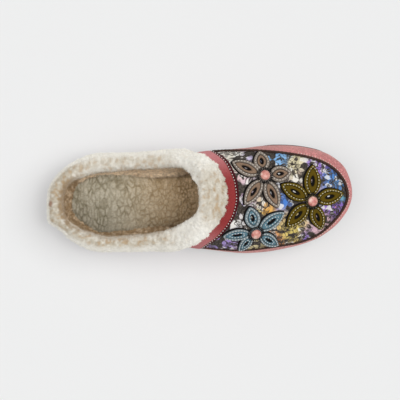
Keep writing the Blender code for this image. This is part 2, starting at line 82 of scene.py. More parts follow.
Foot = namedtuple("Foot", "x medial lateral")
PILE_AT_SOLE = table(Foot, (  # the same where the lining meets the insole
    (-126.0, 13.0, 13.0), (-112.0, 11.2, 10.6), (-95.0, 11.0, 10.0), (-70.0, 12.2, 12.0),
    (-45.0, 16.0, 15.0), (-10.0, 18.8, 16.5),
))
FLOWER_LIFT, PETAL_LIFT, SEWN_LIFT = 0.6, 0.35, 1.35  # felt over the flock, leather and thread over it
ROSETTE_RADIUS, ROSETTE_LOOPS, ROSETTE_CORD = 7.6, 22, 0.28
ROSETTE_LIFT = 2.6
MIDDLE_RINGS = ((5.6, -0.7), (5.8, -0.35), (5.4, -0.1), (1.0, 0.0), (1.0, -0.7))  # radius, height
BUTTON_LIFT = 3.0
PRINT_STEP = 0.4  # spacing of the printed panel's points
PRINT_X, PRINT_Y = (-8.0, 132.0), (-46.0, 43.0)  # the plan grid that it is cut from
PRINT_SECTIONS = (40.0, 3.0)  # the sections across and along the vamp that the grid is spaced on
LINING_VIEW, INSOLE_VIEW = 15.0, 20.0  # how far towards the toe their pile runs
INSOLE_FINE, INSOLE_PLAIN = 26.0, (26.6, 125.0)  # end of the insole's curls, and the unseen rest
BAND_STITCH_LIFT, TICKS_LIFT = 1.5, 0.3
FIBRE_WIDTH = 0.24  # of the fleece's pile
TREAD_PITCH, TREAD_GROOVE, TREAD_DEPTH = 11.0, (3.2, 2.4), 1.8  # the chevrons under the sole
TOE_FLARE = 2.0  # how far the sole's rim stands out at the medial side of the toe

Pile = namedtuple("Pile", "amount length seed")
LINING_PILE = Pile(14000, 1.8, 17)
CUFF_PILE = Pile(34000, 1.5, 29)
INSOLE_PILE = Pile(12000, 1.3, 37)

Stitch = namedtuple("Stitch", "spacing length radius")
BAND_STITCH = Stitch(2.55, 0.9, 0.4)
TOE_TICK = Stitch(2.5, 1.0, 0.42)
PETAL_STITCH = Stitch(2.6, 1.35, 0.38)
STITCH_RINGS = (  # a stitch's rings: shares of its length and of its radius
    (-0.5, 0.35), (-0.36, 0.9), (0.0, 1.0), (0.36, 0.9), (0.5, 0.35))
STITCH_SIDES = 6

Noise = namedtuple("Noise", "depth size seed")
SUEDE_DENTS, SUEDE_SHADES = Noise(0.12, 7.0, 3), Noise(0.5, 16.0, 5)
LINING_FUZZ, LINING_STREAKS, LINING_FLECKS = Noise(0.35, 1.8, 13), Noise(1.0, 2.6, 14), Noise(0.7, 1.4, 15)
CUFF_TEETH = (Noise(1.1, 2.7, 21), Noise(0.7, 1.3, 22))
CUFF_LUMPS = (Noise(0.4, 2.0, 24), Noise(0.5, 11.0, 25))
CUFF_SIDE_FLECKS = (Noise(1.0, 2.6, 26), Noise(0.7, 1.3, 27))
CUFF_TOP_FLECKS = (Noise(1.0, 2.7, 26), Noise(0.8, 1.4, 27))
INSOLE_WARP = ((Noise(1.4, 9.0, 31), Noise(0.6, 2.6, 38)), (Noise(2.0, 11.0, 32), Noise(0.9, 3.0, 39)))
INSOLE_DEPTHS, INSOLE_GRIT, INSOLE_SHADES = Noise(0.4, 6.0, 34), Noise(0.25, 1.4, 35), Noise(0.16, 1.3, 36)
FLOCK_GROUND = (Noise(1.0, 9.0, 62), Noise(0.5, 4.0, 63))
FLOCK_LINES = (Noise(1.0, 7.0, 64), Noise(0.35, 2.4, 65))
FLOCK_FUZZ, FLOCK_SPECKS, FOIL_DENTS = Noise(0.5, 0.9, 47), Noise(1.0, 0.8, 49), Noise(0.05, 3.0, 48)
FOIL_DRIFT = (Noise(5.0, 8.0, 43), Noise(5.0, 8.0, 44))
BUTTON_VEINS = (Noise(1.0, 2.4, 53), Noise(0.5, 1.1, 54))

Curls = namedtuple("Curls", "size seed")
LINING_CURLS, CUFF_CURLS, INSOLE_CURLS = Curls(4.2, 11), Curls(5.0, 23), Curls(3.5, 33)
INSOLE_FINE_CURLS, FOIL_PATCHES = Curls(1.9, 61), Curls(4.2, 45)

Leaf = namedtuple("Leaf", "x y heading length width")
SPRIG_SPACING = (15.0, 12.0)
SPRIG_X, SPRIG_Y = (-11, 150), (-72, 75)  # the stretch of flat cloth that the sprigs fill
SPRIG_LEAVES, SPRIG_STEP, SPRIG_SEED = 5, 2.4, 53

# Mesh steps
FINE_STEPS = 1600  # points of a curve before it is evenly spaced
HALVINGS = 40  # of an interval, in each search for a height or an edge
UPPER_STEPS = (240, 44)  # along the shoe, up the wall
LINING_STEPS, LINING_UP = (270, 30), 54  # in view and ahead of it, up the wall
LINING_TURN = (1.30, 1.27)  # the angles where the first ends and the second starts
OUTSOLE_STEPS = (260, 70)  # along, across the tread
INSOLE_STEP, INSOLE_AHEAD, INSOLE_ACROSS = 0.62, 46, 132
INSOLE_UNDER = 12  # one point underneath for so many on top
CUFF_STEPS, CUFF_SIDES = 760, 58
BAND_STEPS = 150
SEAM_STEPS = (400, 60)  # round the vamp's edge: along the piping, under the band
PIPING_STEPS, PIPING_SIDES = 700, 12
PETAL_STEPS, SEWN_STEPS = 96, 240
TURN_STEPS, LOOP_STEPS, LOOP_SIDES = 40, 18, 6

# Stage
CAMERA_AT, CAMERA_HEIGHT, FOCUS_HEIGHT = (-0.61, -0.815), 1600.0, 30.0
FRAME_PIXELS, PIXEL = 400, 0.88  # the picture's width, and a pixel's size at the focus height
SENSOR = 36.0
FLOOR_SIZE = 4.0  # metres from the middle
FLOOR_GREY, FLOOR_GLOW, SKY_LIGHT = (0.51, 0.515, 0.515), 0.32, 0.33

Lamp = namedtuple("Lamp", "name energy softness tip roll")
LAMPS = (  # angles in degrees
    Lamp("lamp", 1.42, 40, -7, 26),
    Lamp("edge", 0.4, 14, 0, 16),
    Lamp("fill", 0.66, 60, 0, -32),
)

Plan = namedtuple("Plan", "x medial lateral")
PLAN = table(Plan, (  # outline of the upper at its widest level, seen from above
    (129.0, 25.6, -12.0), (121.0, 34.6, -22.2), (110.0, 41.2, -31.2), (95.0, 45.4, -38.4),
    (76.0, 47.4, -43.6), (56.0, 47.0, -46.9), (36.0, 44.6, -47.6), (20.0, 43.4, -46.0),
    (4.0, 42.0, -43.9), (-12.0, 39.2, -41.0), (-35.0, 36.5, -39.8), (-70.0, 33.6, -40.1),
    (-94.0, 31.1, -37.6), (-109.0, 25.1, -29.6), (-120.5, 15.4, -20.0),
))

Side = namedtuple("Side", "x tread feather widest crown")
SIDE = table(Side, (  # heights in the side view: the sole's two faces, the widest level and the last's top
    (-130.0, 2.4, 20.8, 34.0, 104.0), (-112.0, 0.0, 19.5, 33.0, 104.0),
    (-80.0, 0.0, 18.0, 31.0, 104.0), (-52.0, 0.0, 16.5, 29.5, 103.0), (-25.0, 1.6, 14.6, 28.0, 98.0),
    (0.0, 2.2, 12.4, 26.0, 85.0), (16.0, 1.2, 11.2, 25.0, 78.0), (34.0, 0.0, 10.4, 24.0, 71.5),
    (56.0, 0.0, 10.0, 23.0, 64.5), (78.0, 0.0, 10.4, 23.0, 57.5), (98.0, 1.8, 12.0, 24.5, 51.5),
    (116.0, 5.2, 15.0, 27.0, 46.0), (136.0, 11.0, 20.4, 31.3, 40.5),
))

Topline = namedtuple("Topline", "x z")
TOPLINE = table(Topline, (  # the upper's cut edge in the side view, from the heel up over the instep
    (-140.0, 53.0), (-100.0, 50.5), (-66.0, 48.8), (-38.0, 51.0), (-22.0, 56.5), (-10.0, 64.5),
    (-1.0, 74.0), (4.0, 81.0), (6.5, 90.0), (7.5, 110.0),
))

Edge = namedtuple("Edge", "inset level")
SOLE_EDGE = table(Edge, (  # the sole's rim from the floor up: inset from the outline, share of the height
    (3.6, 0.0), (2.2, 0.05), (1.5, 0.20), (0.9, 0.48), (1.6, 0.53), (1.6, 0.59), (0.8, 0.64),
    (0.8, 0.90), (1.6, 0.99),
))

Band = namedtuple("Band", "front_x front_y back_x back_y")
BAND = table(Band, (  # the suede strip over the instep, from the lateral piping to the medial one
    (2.6, -42.4, -13.0, -40.7), (4.4, -40.4, -7.0, -38.4), (9.3, -36.6, -0.4, -33.6),
    (15.2, -32.1, 5.4, -28.8), (20.3, -26.8, 11.2, -23.0), (25.6, -19.6, 16.4, -16.2),
    (29.6, -10.8, 19.8, -8.4), (31.8, 1.0, 21.0, 1.6), (30.4, 13.4, 19.4, 11.6),
    (27.0, 23.3, 15.6, 20.6), (22.1, 32.0, 9.6, 28.6), (16.1, 37.4, 3.6, 34.2),
    (12.6, 39.7, -0.6, 37.4), (10.6, 40.9, -2.6, 39.3),
))
BAND_SECTION = (  # across the band from back to front, lift, tone: the suede, then its dark folded edge
    (0.0, 0.3, 1.0), (0.0, 1.3, 1.0), (0.2, 1.5, 1.0), (0.5, 1.55, 1.0), (0.75, 1.6, 1.0),
    (0.84, 1.5, 1.0), (0.88, 1.4, 0.9), (0.895, 1.2, 0.2), (0.99, 1.2, 0.1), (1.0, 1.3, 0.1),
    (1.02, 1.1, 0.0), (1.14, 1.0, 0.0), (1.18, 0.7, 0.0), (1.19, 0.3, 0.0))
BAND_STITCH_AT, BAND_OVER_VAMP = 0.95, 0.6  # across it: the stitches, and the vamp's edge underneath

Point = namedtuple("Point", "x y")
PIPING = table(Point, (  # the seam between vamp and side wall, from the lateral throat round the toe
    (4.6, -42.4), (18.0, -43.8), (31.1, -44.6), (44.2, -44.2), (57.4, -42.7), (70.5, -40.8),
    (83.7, -38.7), (96.8, -34.6), (107.3, -28.6), (116.9, -19.9), (124.0, -11.2), (128.2, -3.5),
    (129.5, 3.5), (127.7, 12.3), (123.1, 20.3), (116.1, 27.2), (105.6, 33.0), (92.4, 36.9),
    (79.3, 39.3), (61.8, 41.2), (44.2, 42.2), (26.7, 42.2), (11.0, 41.4),
))
PIPING_RADII = (  # share of the way from the lateral throat round the toe, radius of the cord there
    (0, 0.6), (0.15, 0.75), (0.42, 1.05), (0.62, 1.25), (0.8, 1.1), (1, 0.85))
PIPING_PUCKERS = 110  # where the seam's thread draws it in
TICKS_ALONG = (0.33, 0.80)  # the stretch of the seam with ticks of thread beside it
TICKS_ASIDE = 1.75

CUFF_SECTION = (  # the fleece roll's section: out from the wall's face, up towards the opening
    (2.0, -19.0), (2.9, -20.0), (4.2, -19.0), (5.2, -16.0), (5.8, -11.0), (5.5, -5.0), (4.0, 1.0),
    (1.2, 4.4), (-2.4, 5.2), (-6.0, 3.4), (-8.4, -1.0), (-9.0, -6.0), (-8.4, -12.0), (-6.9, -16.5),
    (-5.4, -18.2))
CUFF_SLOT = (  # the slot that the wall stands in
    (-5.4, -12.0), (-5.4, -6.0), (-5.4, 0.3), (-2.5, 0.5), (0.5, 0.3), (0.5, -4.0), (0.5, -8.0),
    (1.2, -12.0), (1.9, -16.0))
SECTION_DROP = -20.0  # what the section is drawn for

Reach = namedtuple("Reach", "run drop lip rim")
# Round the collar from the instep's medial side: how far the roll hangs down, and how far its inner lip
# lies in and its outer rim out from the section as drawn
CUFF_REACH = table(Reach, (
    (0.0, -16.0, 2.3, 0.0), (6.0, -14.6, 3.6, 0.0), (12.0, -12.0, 4.6, 0.0), (17.5, -11.0, 3.7, -0.6),
    (23.0, -10.6, 3.0, -1.4), (29.0, -11.0, 1.8, -1.8), (36.0, -16.0, 0.9, -1.4),
    (45.0, -20.0, 0.6, 0.0), (80.0, -20.0, -0.4, 0.0), (100.0, -20.0, -0.2, 1.0),
    (113.0, -20.0, 0.2, 1.8), (128.0, -20.0, -0.2, 0.6), (145.0, -20.0, -1.8, 0.2),
    (155.0, -20.0, -1.6, 1.5), (168.0, -20.0, -1.4, 1.3), (174.0, -20.0, -1.4, 1.8),
    (179.0, -20.0, -1.8, 3.5), (182.0, -20.0, -2.4, 2.3), (186.0, -20.0, -3.2, 0.6),
    (191.0, -20.0, -3.6, 0.0), (200.0, -20.0, -3.2, 1.0), (214.0, -20.0, -1.6, 0.8),
    (234.0, -20.0, -1.6, 0.0), (249.0, -20.0, -0.6, 0.0), (266.0, -20.0, 0.4, 0.0),
    (278.0, -19.6, 2.0, 0.2), (287.0, -16.0, 3.5, -0.6), (291.0, -11.4, 4.0, -0.8),
    (295.0, -9.4, 4.3, -0.6), (300.0, -8.6, 4.7, 0.0), (306.0, -8.0, 4.8, 0.0),
    (312.0, -8.2, 4.5, 0.0), (318.0, -9.2, 3.8, 0.0), (324.0, -12.0, 2.6, 0.0),
    (330.0, -15.0, 1.0, 0.0), (342.0, -18.8, -1.6, 0.0), (352.0, -20.0, -1.2, 0.0),
    (359.0, -18.8, 0.0, 0.0), (366.0, -16.0, 2.3, 0.0),
))

Flower = namedtuple("Flower", "name x y rim inner thread sewn border tips")
Tip = namedtuple("Tip", "x y width")
FLOWERS = (  # from above: centre, colours of leather and thread, shares where sewn, width of rim, tips
    Flower("taupe", 55.5, 19.6, (0.25, 0.21, 0.175), (0.262, 0.172, 0.115), (0.70, 0.64, 0.57),
           (0.30,), 0.43,
           (Tip(79.4, 22.6, 13.6), Tip(51.9, 40.4, 14.0), Tip(27.6, 30.8, 12.6),
            Tip(38.2, -5.0, 12.6), Tip(67.4, -7.6, 13.6))),
    Flower("olive", 97.0, -1.7, (0.115, 0.078, 0.004), (0.11, 0.070, 0.002), (0.70, 0.65, 0.46),
           (0.38,), 0.36,
           (Tip(125.2, 5.0, 14.0), Tip(98.2, 29.2, 14.8), Tip(70.1, 12.4, 14.0),
            Tip(75.2, -23.3, 13.8), Tip(106.2, -26.0, 13.2))),
    Flower("blue", 47.9, -28.6, (0.22, 0.275, 0.295), (0.115, 0.215, 0.265), (0.68, 0.71, 0.71),
           (0.27, 0.84), 0.38,
           (Tip(68.6, -39.2, 10.8), Tip(72.8, -11.3, 12.0), Tip(43.0, -6.8, 13.6),
            Tip(19.8, -31.4, 9.2), Tip(34.0, -43.6, 9.0))),
)

Layer = namedtuple("Layer", "share lift tone")
# The tone darkens the cut edges, outside and round the eye, and the groove: painted shade.
PETAL_SECTION = table(Layer, (  # from a petal's edge to its eye: share of the way, lift, tone of its colour
    (0.00, 0.0, 0.15), (0.00, 0.7, 0.35), (0.05, 1.05, 0.85), (0.16, 1.25, 1.0), (0.38, 1.3, 1.0),
    (0.48, 1.2, 0.85), (0.52, 0.85, 0.16), (0.60, 0.85, 0.16), (0.64, 1.15, 0.9), (0.74, 1.3, 1.0),
    (0.90, 1.25, 0.95), (0.97, 1.0, 0.5), (1.00, 0.6, 0.10), (1.00, 0.0, 0.05),
))
INNER_FROM = 0.62  # share where the inner leaf's colour starts
BACKING_AND_SHADOW = (  # the black felt under a petal, from its opening under the eye outwards: share, reach, lift; where it reaches beyond the petal it is painted shadow
    (1.6, 0.0, 0.0), (1.6, 0.0, 0.45), (0.0, 0.6, 0.4), (0.0, 0.75, 0.0))
FELT_SHADOW_SHIFT = (-0.45, 0.4)  # it lies a little off the petal, so that more of it shows on two sides as painted shadow
FELT_LIMIT = 40.4  # where it stops short of the medial piping

Zone = namedtuple("Zone", "x y reach colour")
FOIL = table(Zone, (  # colour zones of the pearly print under the flock
    (30, 34, 12, (0.88, 0.82, 0.70)), (26, 18, 9, (0.86, 0.50, 0.52)), (44, 36, 9, (0.70, 0.62, 0.86)),
    (68, 37, 11, (0.28, 0.55, 0.92)), (86, 32, 10, (0.90, 0.80, 0.52)),
    (106, 30, 10, (0.42, 0.24, 0.80)), (118, 20, 11, (0.08, 0.26, 0.66)),
    (127, 4, 9, (0.20, 0.48, 0.62)), (120, -12, 10, (0.32, 0.16, 0.62)),
    (110, -26, 9, (0.86, 0.56, 0.62)), (94, -34, 9, (0.42, 0.26, 0.82)),
    (84, -28, 11, (0.92, 0.72, 0.20)), (68, -36, 9, (0.90, 0.34, 0.14)),
    (73, -4, 8, (0.03, 0.20, 0.68)), (60, -9, 7, (0.92, 0.48, 0.08)), (50, -14, 9, (0.86, 0.74, 0.36)),
    (33, -8, 9, (0.44, 0.26, 0.80)), (30, -22, 9, (0.86, 0.86, 0.84)),
    (20, -40, 12, (0.48, 0.34, 0.78)), (52, -43, 10, (0.90, 0.76, 0.42)),
    (88, 12, 9, (0.55, 0.38, 0.26)),
))
FOIL_CREAM = (1.0, 0.98, 0.91)
FLOCK = (0.056, 0.046, 0.038)

CREAM, BEIGE_AND_SHADE = (0.97, 0.955, 0.90), (0.53, 0.465, 0.355)  # the fleece roll; its beige is partly painted shade
# The lip's colour, on the roll's inner turn and the flank below it, is painted shade and dirt.
TAN, LIP_SHADE_AND_DIRT, SHADE = (0.52, 0.36, 0.20), (0.40, 0.275, 0.155), (0.30, 0.13, 0.07)
# The lining's light and brown colours are painted light and painted shade on one fleece, the brown with
# some dirt; the foot's colour is painted shade.
LINING_LIGHT, LINING_SHADE_AND_DIRT, LINING_FOOT_SHADE = (0.98, 0.80, 0.585), (0.40, 0.275, 0.155), (0.20, 0.13, 0.07)
# The front's browner hue is painted shade and warm bounced light.
INSOLE_TOP = ((0.47, 0.425, 0.33), (0.58, 0.435, 0.275))  # its curls, at the heel and at the front
INSOLE_CREVICE_SHADE = ((0.23, 0.20, 0.13), (0.40, 0.27, 0.14))  # painted shade in the crevices between them
FLEECE_SHEEN = (1.0, 0.91, 0.78, 1.0)
HEEL_MARK = Point(-129.0, -4.2)  # the small brown seam at the back of the roll
SIDE_RED, BAND_RED, BAND_EDGE = (0.56, 0.215, 0.212), (0.29, 0.038, 0.038), (0.07, 0.008, 0.011)
BAND_SHEEN = (0.64, 0.235, 0.245)  # where the band's nap catches the light, on the bends
PIPING_BROWN = (0.042, 0.019, 0.012)
SOLE_BROWN = (0.050, 0.032, 0.022)
BLACK = (0.010, 0.009, 0.009)
BUTTON_PINK, BUTTON_RED, BUTTON_PALE = (0.70, 0.33, 0.27), (0.54, 0.16, 0.14), (0.88, 0.66, 0.56)
WHITE_THREAD, PINK_THREAD = (0.88, 0.85, 0.78), (0.92, 0.76, 0.66)


# Curves and sections of the last

def smooth(xs, ys, at):
    """A smooth curve through the points that never overshoots between them (monotone cubic)."""
    xs, ys = np.asarray(xs, float), np.asarray(ys, float)
    step = np.diff(xs)
    rise = np.diff(ys) / step
    slope = np.zeros_like(ys)
    same = rise[:-1] * rise[1:] > 0
    safe = np.where(same, rise[:-1] + rise[1:], 1.0)
    slope[1:-1] = np.where(same, 2 * rise[:-1] * rise[1:] / safe, 0.0)
    slope[0], slope[-1] = rise[0], rise[-1]
    at = np.asarray(at, float)
    k = np.clip(np.searchsorted(xs, at) - 1, 0, len(step) - 1)
    t = (at - xs[k]) / step[k]
    return (
        ys[k] * (1 + 2 * t) * (1 - t) ** 2
        + slope[k] * step[k] * t * (1 - t) ** 2
        + ys[k + 1] * t**2 * (3 - 2 * t)
        + slope[k + 1] * step[k] * t**2 * (t - 1)
    )


def read(rows, key, column, at):
    """One column of a table as a smooth curve over another."""
    return smooth([getattr(r, key) for r in rows], [getattr(r, column) for r in rows], at)


def read_evenly(rows, column, at):
    """One column of a table as a smooth curve over the share of the way through its rows."""
    return smooth(np.linspace(0, 1, len(rows)), [getattr(r, column) for r in rows], at)


def unit(vectors):
    return vectors / np.maximum(np.linalg.norm(vectors, axis=-1, keepdims=True), 1e-12)


def run_along(points):
    """Length of a path up to each of its points."""
    return np.r_[0, np.cumsum(np.linalg.norm(np.diff(points, axis=0), axis=1))]


def along_path(values, run, at):
    """A path's points or directions at lengths along it."""
    return np.stack([np.interp(at, run, values[:, i]) for i in range(3)], -1)


def side_height(x, column):
    return read(SIDE, "x", column, x)


def above_topline(points):
    """How far points lie above the cut edge. Ahead of the instep nothing is cut."""
    station = np.minimum(points[:, 0] - TOPLINE_SHEAR * points[:, 1], TOPLINE[-1].x)
    return points[:, 2] - read(TOPLINE, "x", "z", station)


X_MID, X_HALF = (TOE_X + HEEL_X) / 2, (TOE_X - HEEL_X) / 2


def centre_y(x):
    """The line that the widths are measured from, from the heel's back to the toe's tip."""
    return HEEL_Y + (TOE_Y - HEEL_Y) * (x - HEEL_X) / (TOE_X - HEEL_X)


def fullness_curve(side):
    """Half width over the sine of the station's angle, on one side, against that angle."""
    angles, values = [0.0], [math.sqrt(TOE_RADIUS * X_HALF)]
    for row in PLAN:
        angle = math.acos((row.x - X_MID) / X_HALF)
        y = row.medial if side > 0 else row.lateral
        angles.append(angle)
        values.append(abs(y - centre_y(row.x)) / math.sin(angle))
    angles.append(math.pi)
    values.append(math.sqrt(HEEL_RADIUS * X_HALF))
    return angles, values


FULLNESS = {side: fullness_curve(side) for side in (1, -1)}


def outline(angle, side):
    """Plan point of the upper's outline. The angle is 0 at the toe's tip and pi at the heel's back."""
    x = X_MID + X_HALF * np.cos(angle)
    half = np.where(
        side > 0, smooth(*FULLNESS[1], angle), -smooth(*FULLNESS[-1], angle)
    ) * np.sin(angle)
    return x, centre_y(x) + half


def inset_outline(angle, side, inset):
    """The outline moved inwards by a distance, along its own normal."""
    small = 1e-3  # radians, for the slope
    x, y = outline(angle, side)
    x0, y0 = outline(np.abs(angle - small), np.where(angle < small, -side, side))
    over = angle + small > math.pi
    x1, y1 = outline(
        np.where(over, 2 * math.pi - angle - small, angle + small), np.where(over, -side, side)
    )
    tx, ty = x1 - x0, y1 - y0
    length = np.hypot(tx, ty)
    return x - side * inset * ty / length, y + side * inset * tx / length


def spine(x):
    """The crown's plan point that belongs to the outline's station x."""
    spine_x = X_MID + SPINE_SHARE * (x - X_MID)
    return spine_x, centre_y(spine_x)


def skin(angle, side, share):
    """Points of the upper's outer face. A share is 0 at the sole, WALL_SHARE where widest, 1 on top."""
    angle, side, share = np.broadcast_arrays(*(np.asarray(v, float) for v in (angle, side, share)))
    ox, oy = outline(angle, side)
    cx, cy = spine(ox)
    low = np.clip(share / WALL_SHARE, 0, 1)
    arch = np.clip((share - WALL_SHARE) / (1 - WALL_SHARE), 0, 1) * math.pi / 2
    reach = np.maximum(np.hypot(cx - ox, cy - oy), 1.0)
    tuck = FEATHER_INSET / reach * (1 - low) ** 2
    inward = tuck + 1 - np.clip(np.cos(arch), 0, 1) ** (2 / ARCH_SIDE)
    x, y = ox + (cx - ox) * inward, oy + (cy - oy) * inward
    feather, widest = side_height(x, "feather") + GAP, side_height(x, "widest")
    rise = np.clip(np.sin(arch), 0, 1) ** (2 / ARCH_TOP)
    z = feather + (widest - feather) * low + (side_height(x, "crown") - widest) * rise
    return np.stack([x, y, z], -1)


def halved(near, far, holds):
    """The far end of the range where a test holds, between two bounds."""
    for _ in range(HALVINGS):
        middle = (near + far) / 2
        found = holds(middle)
        near, far = np.where(found, middle, near), np.where(found, far, middle)
    return near


def skin_height(x, y):
    """Height of the upper's outer face above a plan point inside the outline."""
    x, y = np.asarray(x, float), np.asarray(y, float)
    side = np.where(y >= centre_y(x), 1.0, -1.0)

    def within(inward):
        station = X_MID + (x - X_MID) / (1 - inward + inward * SPINE_SHARE)
        angle = np.arccos(np.clip((station - X_MID) / X_HALF, -1, 1))
        ox, oy = outline(angle, side)
        edge_y = oy + (spine(ox)[1] - oy) * inward
        return ((edge_y - y) * side > 0) & (np.abs(station - X_MID) < X_HALF)

    inward = halved(np.zeros_like(x), np.ones_like(x), within)
    rise = (1 - (1 - inward) ** ARCH_SIDE) ** (1 / ARCH_TOP)
    widest = side_height(x, "widest")
    return widest + (side_height(x, "crown") - widest) * rise


def on_skin(x, y, lift):
    """Points over the vamp's outer face, lifted along its normal from plan points, and the normals."""
    x, y = np.asarray(x, float), np.asarray(y, float)
    small = 0.2
    slope_x = (skin_height(x + small, y) - skin_height(x - small, y)) / (2 * small)
    slope_y = (skin_height(x, y + small) - skin_height(x, y - small)) / (2 * small)
    normal = unit(np.stack([-slope_x, -slope_y, np.ones_like(x)], -1))
    lift = np.broadcast_to(lift, x.shape)
    return np.stack([x, y, skin_height(x, y)], -1) + normal * lift[..., None], normal


def topline_share(angle, side):
    """Where the topline crosses the section at this station."""
    return halved(np.full_like(angle, WALL_SHARE), np.ones_like(angle),
                  lambda share: above_topline(skin(angle, side, share)) < 0)


def topline_path(steps):
    """Evenly spaced frames round the collar: point, outward normal and direction towards the opening."""
    stations = np.linspace(0, math.pi, FINE_STEPS)
    open_from = stations[np.argmax(above_topline(skin(stations, 1.0, 1.0)) > 0)]
    turn = np.linspace(0, 2, FINE_STEPS, endpoint=False)
    side = np.where(turn < 1, 1.0, -1.0)
    ease = (1 - np.cos(math.pi * np.where(turn < 1, turn, 2 - turn))) / 2
    angle = open_from + (math.pi - open_from) * ease
    share = topline_share(angle, side)
    point = skin(angle, side, share)
    small = 1e-3
    along = skin(angle + small, side, share) - skin(angle - small, side, share)
    up = skin(angle, side, share) - skin(angle, side, share - small)
    normal = unit(np.cross(along, up))
    from_middle = point - (X_MID, 0, side_height(X_MID, "widest"))
    normal *= np.sign((normal * from_middle).sum(1))[:, None]
    length = run_along(np.r_[point, point[:1]])
    even = np.linspace(0, length[-1], steps, endpoint=False)
    point, normal = (along_path(np.r_[v, v[:1]], length, even) for v in (point, normal))
    normal = unit(normal)
    tangent = np.roll(point, -1, 0) - np.roll(point, 1, 0)
    opening = unit(np.cross(normal, tangent))
    opening *= np.sign((opening[:, 2] - opening[:, 0]))[:, None]
    return point, normal, opening, even


# Noise and blends

def step_up(low, high, value):
    """0 below low, 1 above high and a smooth rise between them."""
    t = np.clip((value - low) / (high - low), 0, 1)
    return t * t * (3 - 2 * t)


def cell_value(cell, seed):
    """A repeatable value from 0 to 1 for each cell of a grid."""
    key = np.full(cell.shape[:-1], seed * 374761393, np.int64)
    for axis, prime in zip(range(cell.shape[-1]), (73856093, 19349663, 83492791)):
        key ^= cell[..., axis].astype(np.int64) * prime
    for prime in (1274126177, 668265263):
        key = ((key ^ (key >> 15)) * prime) & 0x7FFFFFFF
    return ((key >> 8) & 0xFFFF) / 0xFFFF


def ripple(points, size, seed):
    """Smooth noise from -1 to 1, with bumps of about this size."""
    at = np.asarray(points, float) / size
    cell = np.floor(at)
    part = at - cell
    part = part * part * (3 - 2 * part)
    total = 0.0
    for corner in itertools.product((0, 1), repeat=at.shape[-1]):
        weight = np.prod(np.where(corner, part, 1 - part), axis=-1)
        total = total + weight * cell_value(cell + corner, seed)
    return 2 * total - 1


def ripples(points, *layers):
    """Layers of smooth noise, each to its own depth."""
    return sum(layer.depth * ripple(points, layer.size, layer.seed) for layer in layers)


def curls(points, size, seed):
    """Scattered round cells: 0 in the crevices to about 1 on top, and each cell's own value."""
    at = np.asarray(points, float) / size
    cell = np.floor(at)
    nearest = np.full(at.shape[:-1], 9.0)
    second, own = nearest.copy(), np.zeros_like(nearest)
    for step in itertools.product((-1, 0, 1), repeat=at.shape[-1]):
        here = cell + step
        centre = here + np.stack([cell_value(here, seed + i) for i in range(at.shape[-1])], -1)
        distance = np.linalg.norm(at - centre, axis=-1)
        second = np.minimum(second, np.maximum(nearest, distance))
        own = np.where(distance < nearest, cell_value(here, seed + 7), own)
        nearest = np.minimum(nearest, distance)
    return np.clip(second - nearest, 0, 1), own


def mixed(low, high, share):
    """Colours between two colours, one for each share."""
    return np.asarray(low) + (np.asarray(high) - np.asarray(low)) * np.asarray(share)[..., None]


# Materials

Grain = namedtuple("Grain", "size low high dark light")


def look(name, roughness, grains, bump, bump_size, shine=0.5, sheen=0.0, coat=0.0, nap=False, steep=1.0):
    """A finish in the piece's own tint, mottled by layers of noise and embossed by a finer one.

    Sizes are in millimetres. With nap, the piece's own attribute sets where it is flocked and dull.
    A steep noise is that much finer upwards, so that its flecks lie along the piece's level lines.
    """
    made = bpy.data.materials.new(name)
    made.use_nodes = True
    tree = made.node_tree
    shader = tree.nodes["Principled BSDF"]
    squeeze = tree.nodes.new("ShaderNodeMapping")
    squeeze.inputs["Scale"].default_value = (1.0, 1.0, steep)
    tree.links.new(tree.nodes.new("ShaderNodeTexCoord").outputs["Object"], squeeze.inputs["Vector"])
    place = squeeze.outputs["Vector"]

    def noise(size, detail):
        node = tree.nodes.new("ShaderNodeTexNoise")
        node.inputs["Scale"].default_value = 1 / (size * MM)
        node.inputs["Detail"].default_value = detail
        tree.links.new(place, node.inputs["Vector"])
        return node.outputs["Fac"]

    tint = tree.nodes.new("ShaderNodeAttribute")
    tint.attribute_name = "tint"
    colour = tint.outputs["Color"]
    for grain in grains:
        ramp = tree.nodes.new("ShaderNodeValToRGB")
        for stop, position, value in zip(
            ramp.color_ramp.elements, (grain.low, grain.high), (grain.dark, grain.light)
        ):
            stop.position = position
            stop.color = (value, value, value, 1)
        tree.links.new(noise(grain.size, 2.0), ramp.inputs["Fac"])
        mix = tree.nodes.new("ShaderNodeMix")
        mix.data_type, mix.blend_type = "RGBA", "MULTIPLY"
        mix.inputs["Factor"].default_value = 1.0
        tree.links.new(colour, mix.inputs[6])
        tree.links.new(ramp.outputs["Color"], mix.inputs[7])
        colour = mix.outputs[2]
    tree.links.new(colour, shader.inputs["Base Color"])

    shader.inputs["Roughness"].default_value = roughness
    shader.inputs["Specular IOR Level"].default_value = shine
    shader.inputs["Sheen Weight"].default_value = sheen
    shader.inputs["Sheen Roughness"].default_value = 0.5
    shader.inputs["Sheen Tint"].default_value = FLEECE_SHEEN
    shader.inputs["Coat Weight"].default_value = coat
    shader.inputs["Coat Roughness"].default_value = 0.25
    if nap:
        flock = tree.nodes.new("ShaderNodeAttribute")
        flock.attribute_name = "nap"
        dull = tree.nodes.new("ShaderNodeMapRange")
        dull.inputs["To Min"].default_value = roughness
        dull.inputs["To Max"].default_value = 0.95
        tree.links.new(flock.outputs["Fac"], dull.inputs["Value"])
        tree.links.new(dull.outputs["Result"], shader.inputs["Roughness"])

    emboss = tree.nodes.new("ShaderNodeBump")
    emboss.inputs["Strength"].default_value = bump
    emboss.inputs["Distance"].default_value = bump_size * MM
    tree.links.new(noise(bump_size, 3.0), emboss.inputs["Height"])
    tree.links.new(emboss.outputs["Normal"], shader.inputs["Normal"])
    return made


# Meshes

